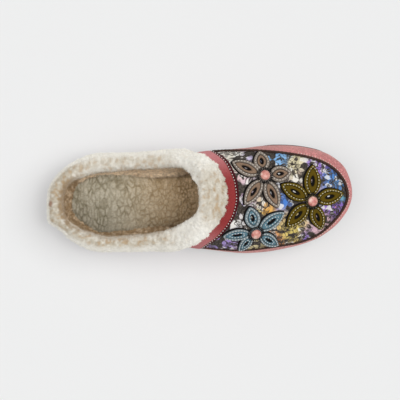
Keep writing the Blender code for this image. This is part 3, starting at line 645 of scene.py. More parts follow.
def grid_faces(rows, columns, loop_rows=False, loop_columns=False):
    """Quads of a grid of points, row by row."""
    r = np.arange(rows if loop_rows else rows - 1)[:, None]
    c = np.arange(columns if loop_columns else columns - 1)[None, :]
    r2, c2 = (r + 1) % rows, (c + 1) % columns
    corners = (r * columns + c, r2 * columns + c, r2 * columns + c2, r * columns + c2)
    return np.stack(np.broadcast_arrays(*corners), -1).reshape(-1, 4)


def capped_faces(rows, columns):
    """Quads of a tube, a ring in each row, and its two ends."""
    last = (rows - 1) * columns
    ends = [list(range(columns)), list(range(last, last + columns))[::-1]]
    return grid_faces(rows, columns, loop_columns=True).tolist() + ends


def face_normals(points, faces):
    """Normals of quads, each as long as twice its area."""
    corner = points[faces]
    return np.cross(corner[:, 2] - corner[:, 0], corner[:, 3] - corner[:, 1])


def facing_out(points, faces):
    """The same faces, turned so that a closed mesh has its normals outside."""
    out = points[faces].mean(1) - points.mean(0)
    return faces if (out * face_normals(points, faces)).sum() > 0 else faces[:, ::-1]


def placed(name, data):
    """An object in the scene for a mesh, a lamp or a camera."""
    made = bpy.data.objects.new(name, data)
    bpy.context.scene.collection.objects.link(made)
    return made


def turn_outwards(piece):
    """Turns the faces of a closed piece outwards."""
    bm = bmesh.new()
    bm.from_mesh(piece.data)
    bmesh.ops.recalc_face_normals(bm, faces=bm.faces)
    bm.to_mesh(piece.data)
    bm.free()


def add_piece(name, points, faces, made_of, slot, stands_for=(), tint=(1.0, 1.0, 1.0), closed=False):
    """A smooth piece from points in millimetres. It rides on the shoe's one body."""
    points = np.asarray(points, float).reshape(-1, 3)
    faces = faces.tolist() if isinstance(faces, np.ndarray) else faces
    mesh = bpy.data.meshes.new(name)
    mesh.from_pydata(((points - (*BOX_MIDDLE, 0.0)) * MM).tolist(), [], faces)
    values = np.ones((len(points), 4), np.float32)
    values[:, :3] = np.broadcast_to(np.asarray(tint, float).reshape(-1, 3), (len(points), 3))
    mesh.color_attributes.new("tint", "FLOAT_COLOR", "POINT").data.foreach_set("color", values.ravel())
    mesh.materials.append(made_of)
    mesh.shade_smooth()
    piece = placed(name, mesh)
    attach(piece, "root")
    if stands_for:
        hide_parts(*stands_for)
    if closed:
        turn_outwards(piece)
    return piece


def weld(piece, distance):
    """Joins points that meet along the seams of a piece."""
    bm = bmesh.new()
    bm.from_mesh(piece.data)
    bmesh.ops.remove_doubles(bm, verts=bm.verts, dist=distance * MM)
    bmesh.ops.dissolve_degenerate(bm, edges=bm.edges, dist=1e-6)
    bm.to_mesh(piece.data)
    bm.free()


def thicken(piece, thickness, outwards):
    shell = piece.modifiers.new("wall", "SOLIDIFY")
    shell.thickness = thickness * MM
    shell.offset = 1.0 if outwards else -1.0


def full_turn(steps):
    return np.linspace(0, 2 * math.pi, steps, endpoint=False)


def tube(points, normals, radius, sides, closed):
    """Points and faces of a round cord along a path. Its section's first point lies on the normals."""
    if closed:
        tangent = unit(np.roll(points, -1, 0) - np.roll(points, 1, 0))
    else:
        tangent = unit(np.gradient(points, axis=0))
    aside = unit(np.cross(tangent, normals))
    upright = np.cross(aside, tangent)
    turn = full_turn(sides)[None, :, None]
    ring = points[:, None] + radius * (
        upright[:, None] * np.cos(turn) + aside[:, None] * np.sin(turn))
    if closed:
        return ring.reshape(-1, 3), grid_faces(len(points), sides, True, True).tolist()
    return ring.reshape(-1, 3), capped_faces(len(points), sides)


def joined(parts):
    """Several lists of points and faces as one."""
    points, faces, offset = [], [], 0
    for part_points, part_faces in parts:
        points.append(part_points)
        faces.extend([[i + offset for i in face] for face in part_faces])
        offset += len(part_points)
    return np.concatenate(points), faces


def stitches(points, normals, stitch, closed, seen=(1, 1, 1)):
    """Rounded stitches laid along a path on a surface, as points and faces.

    They are evenly spaced along the path, whose length counts each axis by its weight in seen.
    """
    if closed:
        points, normals = np.r_[points, points[:1]], np.r_[normals, normals[:1]]
    run = run_along(points * seen)
    count = max(int(run[-1] / stitch.spacing), 1)
    at = (np.arange(count) + 0.5) * run[-1] / count
    small = 0.2
    centre = along_path(points, run, at)
    ahead = unit(along_path(points, run, at + small) - along_path(points, run, at - small))
    upright = unit(along_path(normals, run, at))
    aside = unit(np.cross(ahead, upright))
    parts = []
    turn = full_turn(STITCH_SIDES)[:, None]
    faces = capped_faces(len(STITCH_RINGS), STITCH_SIDES)
    for c, a, u, s in zip(centre, ahead, upright, aside):
        rings = [
            c + a * offset * stitch.length + stitch.radius * share * (u * np.cos(turn) + s * np.sin(turn))
            for offset, share in STITCH_RINGS
        ]
        parts.append((np.concatenate(rings), faces))
    return joined(parts)


def pile(name, points, faces, tint, fibres, made_of, slot="fleece"):
    """Short curled fibres scattered over a fleece surface."""
    amount, length, seed = fibres
    rng = np.random.default_rng(seed)
    normal = face_normals(points, faces)
    area = np.linalg.norm(normal, axis=1)
    chosen = rng.choice(len(faces), amount, p=area / area.sum())
    u, v = rng.random((2, amount, 1))
    c = points[faces[chosen]]
    root = (c[:, 0] * (1 - u) + c[:, 1] * u) * (1 - v) + (c[:, 3] * (1 - u) + c[:, 2] * u) * v
    out = unit(normal[chosen])
    drift, curl, sideways = (unit(rng.normal(size=(amount, 3))) for _ in range(3))
    long = length * rng.uniform(0.6, 1.2, (amount, 1))
    lean = unit(out * 0.55 + drift * 0.9)
    lean += out * np.maximum(0.15 - (lean * out).sum(1, keepdims=True), 0)
    middle = root + lean * long * 0.55
    tip = middle + unit(lean + curl * 0.9) * long * 0.45
    aside = unit(np.cross(lean, sideways)) * FIBRE_WIDTH / 2
    verts = np.stack([root - aside, root + aside, middle + aside, middle - aside, tip], 1)
    first = np.arange(amount)[:, None] * 5
    quads = (first + (0, 1, 2, 3)).tolist()
    tips = (first + (3, 2, 4)).tolist()
    shade = tint[faces[chosen]].mean(1) * rng.uniform(0.88, 1.12, (amount, 1))
    return add_piece(name, verts, quads + tips, made_of, slot, tint=np.repeat(shade, 5, 0))


# Sub-parts

def half_upper(side, angle, steps):
    """One side of the upper's outer face, by station and by step from the sole to topline or crown."""
    sides = np.full_like(angle, side)
    opened = above_topline(skin(angle, sides, 1.0)) > 0
    top = np.where(opened, topline_share(angle, sides), 1.0)
    share = top[:, None] * np.linspace(0, 1, steps)
    points = skin(angle[:, None], side, share)
    normal = unit(np.cross(np.gradient(points, axis=0), np.gradient(points, axis=1))) * side
    return points, normal, ~opened


def both_sides(medial, lateral, over):
    """The upper's two sides as one. They meet at toe, heel and, ahead of the opening, over the foot."""
    for row in (0, -1):
        medial[row] = lateral[row] = (medial[row] + lateral[row]) / 2
    medial[over, -1] = lateral[over, -1] = (medial[over, -1] + lateral[over, -1]) / 2
    rows, columns = medial.shape[:2]
    faces = grid_faces(rows, columns)
    points = np.concatenate([medial, lateral]).reshape(-1, 3)
    return points, facing_out(points, np.r_[faces, faces[:, ::-1] + rows * columns])


def upper_wall(made_of):
    """The suede side wall. It also runs on unseen under the printed vamp."""
    stations, steps = UPPER_STEPS
    angle = np.linspace(0, math.pi, stations)
    halves = [half_upper(side, angle, steps) for side in (1.0, -1.0)]
    grids = [points + normal * ripples(points, SUEDE_DENTS)[..., None] for points, normal, _ in halves]
    points, faces = both_sides(*grids, halves[0][2])
    wave = 0.5 + ripples(points, SUEDE_SHADES)
    # Painted light: the lateral side is made lighter.
    lateral = step_up(-30.0, -46.0, points[:, 1])
    tint = np.asarray(SIDE_RED) * (0.9 + 0.2 * wave + 0.12 * lateral)[:, None]
    piece = add_piece("upper_wall", points, faces, made_of, "side_suede", ("upper",), tint)
    weld(piece, 0.02)
    thicken(piece, SUEDE_THICK, outwards=False)


def pile_at_sole(x, side):
    """How far in from the outer face the lining's pile reaches where it meets the insole."""
    station = np.clip(x, PILE_AT_SOLE[0].x, PILE_AT_SOLE[-1].x)
    return read(PILE_AT_SOLE, "x", "medial" if side > 0 else "lateral", station)


def lining(made_of):
    """The fleece inside the upper: thick at the insole's edge, thinner towards the rim."""
    rear, front = (np.linspace(*turn, steps) for turn, steps in zip(
        ((math.pi, LINING_TURN[0]), (LINING_TURN[1], 0.0)), LINING_STEPS))
    angle = np.r_[rear, front][::-1]
    level = np.linspace(0, 1, LINING_UP)
    grids, over = [], None
    for side in (1.0, -1.0):
        points, normal, over = half_upper(side, angle, LINING_UP)
        behind = step_up(20.0, -20.0, points[..., 0])
        rim = PILE_AT_RIM + 1.1 * (1 - behind)
        sole = PILE_AT_RIM + (pile_at_sole(points[..., 0], side) - PILE_AT_RIM) * behind
        bulge = 0.9 - 0.4 * (side > 0) * step_up(-90.0, -50.0, points[..., 0])
        depth = rim + (sole - rim) * (1 - level) ** bulge
        curl, _ = curls(points, *LINING_CURLS)
        depth = depth + 1.4 * np.sqrt(curl) - 0.8 + ripples(points, LINING_FUZZ)
        grids.append(points - normal * depth[..., None])
    points, faces = both_sides(*grids, over)
    curl, _ = curls(points, *LINING_CURLS)
    height = np.broadcast_to(level, (2, len(angle), LINING_UP)).ravel()
    streak = ripples(points * (1, 1, 0.45), LINING_STREAKS) + ripples(points, LINING_FLECKS)
    medial = step_up(0.0, 20.0, points[:, 1])
    hidden = step_up(-8.0, 8.0, points[:, 0])
    heel = step_up(-95.0, -112.0, points[:, 0])
    # Painted light: lighter up the wall and on the medial side away from the heel; the streaks are the
    # fleece's own.
    lit = np.clip(0.05 + 0.1 * height + 1.1 * medial * (1 - heel) + 0.6 * streak + hidden, 0, 1)
    tint = mixed(LINING_SHADE_AND_DIRT, LINING_LIGHT, lit)
    # Painted shade at the wall's foot and in the crevices between the curls.
    dark = step_up(0.2, 0.04, height) * 0.45 * (1 - hidden) + 0.3 * (1 - step_up(0.0, 0.3, curl))
    tint = mixed(tint, LINING_FOOT_SHADE, np.clip(dark, 0, 1))
    piece = add_piece("lining", points, faces, made_of, "fleece", ("upper",), tint)
    weld(piece, 0.02)
    thicken(piece, LINING_THICK, outwards=True)
    visible = points[faces].mean(1)[:, 0] < LINING_VIEW
    pile("lining_pile", points, faces[visible][:, ::-1], tint, LINING_PILE, made_of)


def cuff_section():
    """Points of the roll's section, evenly spaced round the outside, then down and up the slot."""
    drawn = np.array(CUFF_SECTION)
    run = run_along(drawn)
    at = np.linspace(0, run[-1], CUFF_SIDES)
    outside = np.stack([smooth(run, drawn[:, i], at) for i in range(2)], -1)
    return np.r_[outside, np.array(CUFF_SLOT)]


def cuff_colour(grid, out, up, mottle):
    """White rim, partly painted highlight; beige, partly painted shade, with tan flecks at the heel and
    over the instep; brown inside the heel, painted shade and dirt.
    """
    x, y = grid[..., 0], grid[..., 1]
    heel = step_up(-98.0, -118.0, x)
    crown = step_up(-4.0, 8.0, x) * step_up(36.0, 12.0, np.abs(y - 2.0))
    outer, inner = step_up(3.6, 5.2, out) * (1 - crown), step_up(5.0, 0.5, out)
    along = (1 - heel) * step_up(-12.0, -40.0, x)
    medial, lateral = step_up(-6.0, 14.0, y) * along, step_up(6.0, -14.0, y) * along
    # Where the roll turns beige: painted shade at the heel and on the crown, beige on the inner sides; the
    # rim is left white, partly as painted highlight.
    dull = 0.75 * heel * (1 - outer) + (0.62 + 0.3 * inner) * crown
    dull = dull + (0.6 * medial + 0.72 * lateral) * inner + 0.12 * (1 - outer)
    # Painted light: the inner turn towards the lip stays lighter on the sides.
    dull = dull * (1 - 0.4 * step_up(-1.0, -4.5, out) * along)
    base = mixed(CREAM, BEIGE_AND_SHADE, np.clip(dull, 0, 1))
    base = mixed(base, CREAM, 0.4 * step_up(-0.2, -0.9, mottle))
    amount = 0.06 + 0.4 * medial * inner + 0.6 * lateral * inner + 0.55 * heel + 0.65 * crown
    tan = np.clip(step_up(0.15, 0.9, mottle) * amount * (1 - outer), 0, 0.85)
    tint = mixed(base, TAN, tan)
    # Painted shade and dirt: brown on the inner lip at the heel and lateral side, and on the flank below
    # it.
    lip = step_up(-1.0, -6.5, out - 2.2 * mottle) * (0.85 * heel + 0.25 * lateral)
    flank = step_up(0.5, -5.0, up + 2.4 * mottle) * (out < -4.0) * step_up(8.0, -6.0, x)
    tint = mixed(tint, LIP_SHADE_AND_DIRT, np.clip(lip + flank * (0.9 - 0.2 * medial), 0, 0.9))
    mark = np.hypot((x - HEEL_MARK.x) / 2.0, (y - HEEL_MARK.y) / 3.2)
    return mixed(tint, SHADE, 0.75 * step_up(1.2, 0.5, mark))


def fleece_cuff(made_of):
    """The fleece roll round the topline, lumpy all over and ragged where it ends over the band."""
    point, normal, opening, run = topline_path(CUFF_STEPS)
    section = cuff_section()
    drop, lip, rim = (read(CUFF_REACH, "run", name, run)[:, None] for name in ("drop", "lip", "rim"))
    outside = (np.arange(len(section)) < CUFF_SIDES)[None, :]
    drawn_out, drawn_up = section[None, :, 0], section[None, :, 1]
    tooth = ripples(run[:, None], *CUFF_TEETH)
    ragged = step_up(-13.0, -19.0, drawn_up) * (drawn_out > 0)
    up = np.where((drawn_out > 0) & (drawn_up < 0), drawn_up * drop / SECTION_DROP, drawn_up)
    up = up - tooth[:, None] * ragged
    up = up + 0.75 * np.maximum(lip, 0) * step_up(-2.0, -7.0, drawn_out) * step_up(-14.0, -5.0, drawn_up)
    grid = point[:, None] + normal[:, None] * drawn_out[..., None] + opening[:, None] * up[..., None]
    flat = unit(normal * (1, 1, 0))
    inwards = lip * step_up(2.0, -6.0, drawn_out) * step_up(-18.0, -6.0, drawn_up)
    outwards = rim * step_up(0.0, 5.0, drawn_out)
    grid = grid + flat[:, None] * ((outwards - inwards) * outside)[..., None]
    along = np.roll(grid, -1, 0) - np.roll(grid, 1, 0)
    around = np.roll(grid, -1, 1) - np.roll(grid, 1, 1)
    outward = unit(np.cross(along, around))
    from_core = grid - (point - 2.0 * normal - 8.0 * opening)[:, None]
    outward *= np.sign((outward * from_core).sum((1, 2), keepdims=True))
    curl, _ = curls(grid, *CUFF_CURLS)
    lump = 0.9 * np.sqrt(curl) - 0.5 + ripples(grid, *CUFF_LUMPS)
    grid = grid + outward * (lump * outside)[..., None]

    strip = np.stack(np.broadcast_arrays(run[:, None] / 1.3, run_along(section)[None, :]), -1)
    above = grid[..., :2] / (1.15, 1.0)
    top = step_up(5.4, 3.0, drawn_out)
    mottle = (1 - top) * ripples(strip, *CUFF_SIDE_FLECKS) + top * ripples(above, *CUFF_TOP_FLECKS)
    tint = cuff_colour(grid, drawn_out, drawn_up, mottle)
    faces = grid_faces(CUFF_STEPS, len(section), True, True)
    points, tint = grid.reshape(-1, 3), tint.reshape(-1, 3)
    normal_out = outward.reshape(-1, 3)
    if (face_normals(points, faces) * normal_out[faces].mean(1)).sum() < 0:
        faces = faces[:, ::-1]
    piece = add_piece("cuff_fleece", points, faces, made_of, "fleece", ("fleece_cuff",), tint)
    open_air = np.repeat(outside, CUFF_STEPS, 0).ravel()[faces].all(1)
    pile("cuff_pile", points, faces[open_air], tint, CUFF_PILE, made_of)


def insole(made_of):
    """The fleece footbed: curls that lie across the shoe, with crevices between them darkened by painted
    shade.
    """
    in_view = np.arange(HEEL_X + INSOLE_INSET + GAP, INSOLE_FINE, INSOLE_STEP)
    xs = np.r_[in_view, np.linspace(*INSOLE_PLAIN, INSOLE_AHEAD)]
    across = np.linspace(-1, 1, INSOLE_ACROSS)
    edges = []
    for side in (1.0, -1.0):
        stations = np.linspace(0, math.pi, FINE_STEPS)
        x, y = inset_outline(stations, np.full_like(stations, side), INSOLE_INSET)
        edges.append(np.interp(xs, x[::-1], y[::-1]))
    medial, lateral = edges
    middle, half = (medial + lateral) / 2, (medial - lateral) / 2
    x = np.broadcast_to(xs[:, None], (len(xs), len(across)))
    y = middle[:, None] + half[:, None] * across
    plan = np.stack([x, y], -1)
    warp = np.stack([ripples(plan, *layers) for layers in INSOLE_WARP], -1)
    front = step_up(-85.0, -5.0, x)
    stretch = np.stack([x * (1 + 0.12 * front) + warp[..., 0],
                        (y + warp[..., 1]) * (0.46 + 0.34 * front)], -1)
    curl, own = curls(stretch, *INSOLE_CURLS)
    fine, _ = curls(plan + warp, *INSOLE_FINE_CURLS)
    base = side_height(x, "feather") + GAP + INSOLE_THICK
    deep = 0.7 + ripples(plan, INSOLE_DEPTHS)
    dome = 1 - deep * (1 - step_up(-0.1, 0.55, curl))
    dome = dome - (0.1 + 0.12 * front) * (1 - step_up(0.0, 0.5, fine))
    z = base - 1.4 + dome + 0.5 * own + ripples(plan, INSOLE_GRIT)
    # The curls' colour: browner at the front, and lighter towards it as painted light under the vamp's
    # overhang.
    high = mixed(*INSOLE_TOP, front) * (1 + 0.5 * step_up(-30.0, 2.0, x))[..., None]
    light = np.clip(dome * (0.85 + 0.3 * own) + ripples(plan, INSOLE_SHADES), 0, 1.2)
    tint = mixed(mixed(*INSOLE_CREVICE_SHADE, front), high, light)
    from_edge = INSOLE_INSET + half[:, None] * (1 - np.abs(across))
    foot = np.where(across > 0, pile_at_sole(x, 1.0), pile_at_sole(x, -1.0)) + 0.8
    # Painted shade along the joint with the lining, stronger on the medial side.
    joint_shade = np.exp(-((from_edge - foot) / 1.3) ** 2)
    joint_shade = joint_shade * (0.1 + 0.3 * (across > 0) * step_up(-75.0, -25.0, x))
    # Painted light: lighter on the medial side, darker on the lateral.
    tint = tint * (1 - joint_shade)[..., None] * (0.95 + 0.25 * across)[None, :, None]
    top = np.stack([x, y, z], -1)
    under = np.stack([x, y, base - INSOLE_THICK], -1)[:, ::-1]
    grid = np.concatenate([top, under[:, ::INSOLE_UNDER], under[:, -1:]], 1)
    tints = np.concatenate([tint, tint[:, ::INSOLE_UNDER], tint[:, -1:]], 1)
    faces = capped_faces(*grid.shape[:2])
    piece = add_piece("insole_fleece", grid, faces, made_of, "insole", ("insole",), tints, closed=True)
    surface = grid_faces(len(xs), len(across))
    seen = (x < INSOLE_VIEW).ravel()[surface].all(1)
    pile("insole_pile", top.reshape(-1, 3), surface[seen][:, ::-1], tint.reshape(-1, 3), INSOLE_PILE,
         made_of, "insole")


def outsole(made_of):
    """The rubber sole, with a groove round its side and a chevron tread underneath."""
    stations, across = OUTSOLE_STEPS
    angle = np.linspace(0, math.pi, stations)
    edges = []
    for side in (1.0, -1.0):
        x = outline(angle, side)[0]
        flare = TOE_FLARE * (side > 0) * step_up(40.0, 66.0, x) * step_up(122.0, 104.0, x)
        sides = np.full_like(angle, side)
        edges.append([np.stack(inset_outline(angle, sides, edge.inset - flare * edge.level), -1)
                      for edge in SOLE_EDGE])
    medial, lateral = edges
    rims = [*zip(SOLE_EDGE, medial), *zip(reversed(SOLE_EDGE), reversed(lateral))]
    columns = [(plan, edge.level, 0.0) for edge, plan in rims]
    for share in np.linspace(-1, 1, across)[1:-1]:
        plan = lateral[0] + (medial[0] - lateral[0]) * (share + 1) / 2
        chevron = (plan[:, 0] + 0.5 * np.abs(plan[:, 1] - centre_y(plan[:, 0]))) % TREAD_PITCH
        cutting = step_up(*TREAD_GROOVE, chevron) * step_up(1.0, 0.93, abs(share)) * TREAD_DEPTH
        columns.append((plan, 0.0, cutting))
    grid = []
    for plan, level, raised in columns:
        tread, feather = side_height(plan[:, 0], "tread"), side_height(plan[:, 0], "feather")
        grid.append(np.stack([plan[:, 0], plan[:, 1], tread + (feather - tread) * level + raised], -1))
    grid = np.stack(grid, 1)
    faces = grid_faces(*grid.shape[:2], loop_columns=True)
    piece = add_piece("outsole_rubber", grid, faces, made_of, "outsole", ("outsole",), SOLE_BROWN)
    weld(piece, 0.01)
    turn_outwards(piece)


def strip_points(along, across):
    """Plan points of the collar band: along it from lateral to medial, across it from back to front."""
    front_x, front_y, back_x, back_y = (read_evenly(BAND, name, along) for name in Band._fields)
    return back_x + (front_x - back_x) * across, back_y + (front_y - back_y) * across


def collar_band(suede, thread):
    """The suede strip over the instep with its folded edge and the white stitches along its front."""
    along = np.linspace(0, 1, BAND_STEPS)
    section = np.array(BAND_SECTION)
    a, c = np.meshgrid(along, section[:, 0], indexing="ij")
    x, y = strip_points(a.ravel(), c.ravel())
    lift = np.broadcast_to(section[:, 1], a.shape).ravel()
    points, _ = on_skin(x, y, lift)
    tone = np.broadcast_to(section[:, 2], a.shape).ravel()
    lit = step_up(0.62, 0.86, a.ravel()) + 0.78 * step_up(0.38, 0.1, a.ravel())
    red = mixed(BAND_RED, BAND_SHEEN, np.clip(lit, 0, 1))
    tint = mixed(BAND_EDGE, red, tone)
    faces = capped_faces(BAND_STEPS, len(section))
    add_piece("band_strip", points, faces, suede, "band_suede", ("collar_band",), tint, closed=True)
    x, y = strip_points(along, np.full_like(along, BAND_STITCH_AT))
    path, normals = on_skin(x, y, BAND_STITCH_LIFT)
    sewing = stitches(path, normals, BAND_STITCH, closed=False, seen=(1, 1, 0.5))
    add_piece("band_stitches", *sewing, thread, "stitching", tint=WHITE_THREAD)


def piping_plan(at):
    return read_evenly(PIPING, "x", at), read_evenly(PIPING, "y", at)


def piping_radius(at):
    return smooth(*zip(*PIPING_RADII), at)


def piping_seat(at):
    """Plan points that the piping is sewn to. Seen from above, it then lies on the seam's own line."""
    x, y = piping_plan(at)
    _, normals = on_skin(x, y, 0.0)
    radius = piping_radius(at)
    return x - normals[:, 0] * radius, y - normals[:, 1] * radius


def vamp_piping(leather, thread):
    """The leather welt along the vamp's seam, and the ticks of thread beside it at the toe."""
    at = np.linspace(0, 1, PIPING_STEPS)
    path, normals = on_skin(*piping_seat(at), piping_radius(at) + GAP)
    radius = piping_radius(at) * (1 + 0.1 * np.sin(2 * math.pi * PIPING_PUCKERS * at))
    cord = tube(path, normals, radius[:, None, None], PIPING_SIDES, closed=False)
    add_piece("piping_welt", *cord, leather, "piping", ("vamp_piping",), PIPING_BROWN, closed=True)
    x, y = piping_plan(np.linspace(*TICKS_ALONG, PIPING_STEPS))
    aside = unit(np.stack([-np.gradient(y), np.gradient(x)], -1)) * -TICKS_ASIDE
    path, normals = on_skin(x + aside[:, 0], y + aside[:, 1], TICKS_LIFT)
    ticks = stitches(path, normals, TOE_TICK, closed=False)
    add_piece("toe_ticks", *ticks, thread, "stitching", tint=PINK_THREAD)


def inside(x, y, corner_x, corner_y):
    """Which plan points lie inside a closed outline."""
    found = np.zeros(x.shape, bool)
    for x0, y0, x1, y1 in zip(corner_x, corner_y, np.roll(corner_x, -1), np.roll(corner_y, -1)):
        crosses = (y0 > y) != (y1 > y)
        if crosses.any():
            found ^= crosses & (x < x0 + (x1 - x0) * (y - y0) / (y1 - y0 + 1e-12))
    return found


def nearest_on(edge, plan):
    """The nearest place on a closed outline to each plan point."""
    start, along = edge, np.roll(edge, -1, 0) - edge
    length = np.maximum((along**2).sum(1), 1e-12)
    found = np.empty_like(plan)
    for row, point in enumerate(plan):
        share = np.clip(((point - start) * along).sum(1) / length, 0, 1)
        foot = start + along * share[:, None]
        found[row] = foot[np.argmin(((foot - point) ** 2).sum(1))]
    return found


def sprigs():
    """Leafy sprigs that fill the vamp: leaves on both sides of a bent stem, and one at its end."""
    rng = np.random.default_rng(SPRIG_SEED)
    leaves = []
    for row, y in enumerate(np.arange(*SPRIG_Y, SPRIG_SPACING[1])):
        for x in np.arange(SPRIG_X[0] + (row % 2) * SPRIG_SPACING[0] / 2, SPRIG_X[1], SPRIG_SPACING[0]):
            heading = rng.uniform(0, 2 * math.pi)
            bend = rng.uniform(-0.35, 0.35)
            at = np.array([x, y]) + rng.uniform(-2.5, 2.5, 2) - 6 * np.array(
                [math.cos(heading), math.sin(heading)])
            for number in range(SPRIG_LEAVES):
                heading += bend
                at = at + SPRIG_STEP * np.array([math.cos(heading), math.sin(heading)])
                turn = rng.uniform(0.6, 1.1) * (1 if number % 2 else -1)
                leaves.append(Leaf(*at, heading + turn, rng.uniform(4.5, 8.0), rng.uniform(2.8, 4.4)))
            leaves.append(Leaf(*at, heading, rng.uniform(5.5, 8.0), rng.uniform(3.2, 4.6)))
    return leaves


def flock_cover(cloth):
    """How much flock covers the print, 0 to 1: dark sprigs on bare foil, the reverse, and thin lines."""
    x, y = cloth[:, 0], cloth[:, 1]
    cover = np.zeros_like(x)
    for leaf in sprigs():
        dx, dy = x - leaf.x, y - leaf.y
        near = np.hypot(dx, dy) < leaf.length + 1
        dx, dy = dx[near], dy[near]
        along = (dx * math.cos(leaf.heading) + dy * math.sin(leaf.heading)) / leaf.length
        aside = np.abs(dy * math.cos(leaf.heading) - dx * math.sin(leaf.heading))
        half = np.sin(math.pi * np.clip(along, 0, 1) ** 0.8)
        depth = np.where((along > 0) & (along < 1), half * leaf.width / 2 - aside, -9.0)
        blade, halo = step_up(-0.15, 0.3, depth), step_up(-0.8, -0.35, depth)
        vein = 0.4 * step_up(0.6, 0.25, aside)
        cover[near] = np.maximum(cover[near] * (1 - halo), blade * (1 - vein))
    ground = step_up(-0.06, 0.04, ripples(cloth, *FLOCK_GROUND))
    cover = ground + cover - 2 * ground * cover
    return np.maximum(cover, step_up(0.10, 0.05, np.abs(ripples(cloth, *FLOCK_LINES))))


def foil_colour(x, y, cloth):
    """The pearly print under the flock: listed zones that run into each other, in small patches."""
    wx, wy = (ripples(cloth, layer) for layer in FOIL_DRIFT)
    total, weights = 0.0, 0.0
    for zone in FOIL:
        near = ((x + wx - zone.x) ** 2 + (y + wy - zone.y) ** 2) / zone.reach**2
        weight = 1 / (near + 0.06) ** 2
        total = total + weight[..., None] * np.array(zone.colour)
        weights = weights + weight
    colour = total / weights[..., None]
    _, own = curls(cloth + np.stack([wy, wx], -1) * 0.25, *FOIL_PATCHES)
    colour = mixed(colour, FOIL_CREAM, 0.75 * step_up(0.74, 0.78, own))
    return 0.9 * colour * (1 - 0.5 * step_up(0.26, 0.22, own))[..., None]


def even_steps(line, height, step):
    """Places along a section of the vamp, evenly spaced over its arch."""
    run = np.r_[0, np.cumsum(np.hypot(np.diff(line), np.diff(height)))]
    return np.interp(np.arange(0, run[-1], step), run, line)


def unrolled(x, y):
    """Where the points of a plan grid lie on the vamp's cloth, if it were flat."""
    height = skin_height(x, y)
    flat = []
    for axis, line in enumerate((x, y)):
        steps = np.hypot(np.diff(line, axis=axis), np.diff(height, axis=axis))
        run = np.insert(np.cumsum(steps, axis=axis), 0, 0.0, axis=axis)
        middle = line.shape[axis] // 2
        flat.append(run - np.take(run, [middle], axis) + np.take(line, [middle], axis))
    return np.stack(flat, -1)


def vamp_panel(made_of):
    """The printed vamp from piping to band, with its raised flock. Its edge follows the piping's seat."""
    across_at, along_at = PRINT_SECTIONS
    line = np.linspace(*PRINT_X, FINE_STEPS)
    xs = even_steps(line, skin_height(line, np.full_like(line, along_at)), PRINT_STEP)
    line = np.linspace(*PRINT_Y, FINE_STEPS)
    ys = even_steps(line, skin_height(np.full_like(line, across_at), line), PRINT_STEP)
    x, y = np.meshgrid(xs, ys, indexing="ij")
    cloth = unrolled(x, y).reshape(-1, 2)
    seam_x, seam_y = piping_seat(np.linspace(0, 1, SEAM_STEPS[0]))
    back_x, back_y = strip_points(np.linspace(1, 0, SEAM_STEPS[1]), np.full(SEAM_STEPS[1], BAND_OVER_VAMP))
    edge = np.stack([np.r_[seam_x, back_x], np.r_[seam_y, back_y]], -1)
    within = inside(x, y, *edge.T).ravel()
    faces = grid_faces(len(xs), len(ys))
    faces = faces[within[faces].any(1)]
    used, faces = np.unique(faces, return_inverse=True)
    faces = faces.reshape(-1, 4)
    plan = np.stack([x.ravel()[used], y.ravel()[used]], -1)
    cloth, outer = cloth[used], ~within[used]
    plan[outer] = nearest_on(edge, plan[outer])
    x, y = plan[:, 0], plan[:, 1]
    cover = flock_cover(cloth)
    fuzz = 0.5 + ripples(cloth, FLOCK_FUZZ)
    lift = 0.12 + 0.3 * cover * (0.6 + 0.4 * fuzz) + ripples(cloth, FOIL_DENTS) * (1 - cover)
    points, _ = on_skin(x, y, lift)
    speck = step_up(0.4, 0.9, ripples(cloth, FLOCK_SPECKS))
    flock = np.asarray(FLOCK) * (0.45 + 1.5 * fuzz**2 + 2.0 * speck)[:, None]
    tint = mixed(foil_colour(x, y, cloth), flock, cover)
    upward = face_normals(points, faces)[:, 2].sum() > 0
    piece = add_piece("vamp_panel", points, faces if upward else faces[:, ::-1], made_of, "vamp_print",
                      ("upper",), tint)
    piece.data.attributes.new("nap", "FLOAT", "POINT").data.foreach_set("value", cover.astype(np.float32))
    weld(piece, 0.001)


def petal_outline(turn):
    """A petal's outline, 0 to 1 along and across it: pointed at its tip, narrow at its base."""
    along = (1 - np.cos(2 * math.pi * turn)) / 2
    half = np.sin(math.pi * along**PETAL_TAPER) ** PETAL_FULLNESS / 2
    return along, np.where(turn < 0.5, half, -half)


def eye_outline(turn):
    """The eye that is cut out of a petal: a small pointed oval."""
    along = EYE_PLACE - np.cos(2 * math.pi * turn) * EYE_LENGTH / 2
    return along, np.sin(2 * math.pi * turn) * EYE_WIDTH / 2


def petal_plan(flower, tip, turn, share, beyond=0.0):
    """Plan points of a petal: a share of 0 is its edge, 1 its eye and 2 the eye's middle.

    Beyond widens it, in millimetres.
    """
    reach = np.array([tip.x - flower.x, tip.y - flower.y])
    length = np.hypot(*reach) - PETAL_BASE
    ahead = reach / np.hypot(*reach)
    across = np.array([-ahead[1], ahead[0]])

    def laid(shape):
        along, aside = shape
        return (np.array([flower.x, flower.y]) + ahead * (along * length + PETAL_BASE)[:, None]
                + across * (aside * tip.width)[:, None])

    outer, inner = laid(petal_outline(turn)), laid(eye_outline(turn))
    if share > 1:
        return inner + (inner.mean(0) - inner) * (share - 1)
    width = np.linalg.norm(inner - outer, axis=1)
    rim = np.minimum(width, flower.border * tip.width) * min(share, INNER_FROM)
    leaf = (width - np.minimum(width, flower.border * tip.width) * INNER_FROM) / (1 - INNER_FROM)
    inset = rim + leaf * max(share - INNER_FROM, 0)
    return outer + (inner - outer) * ((inset - beyond) / width)[:, None]


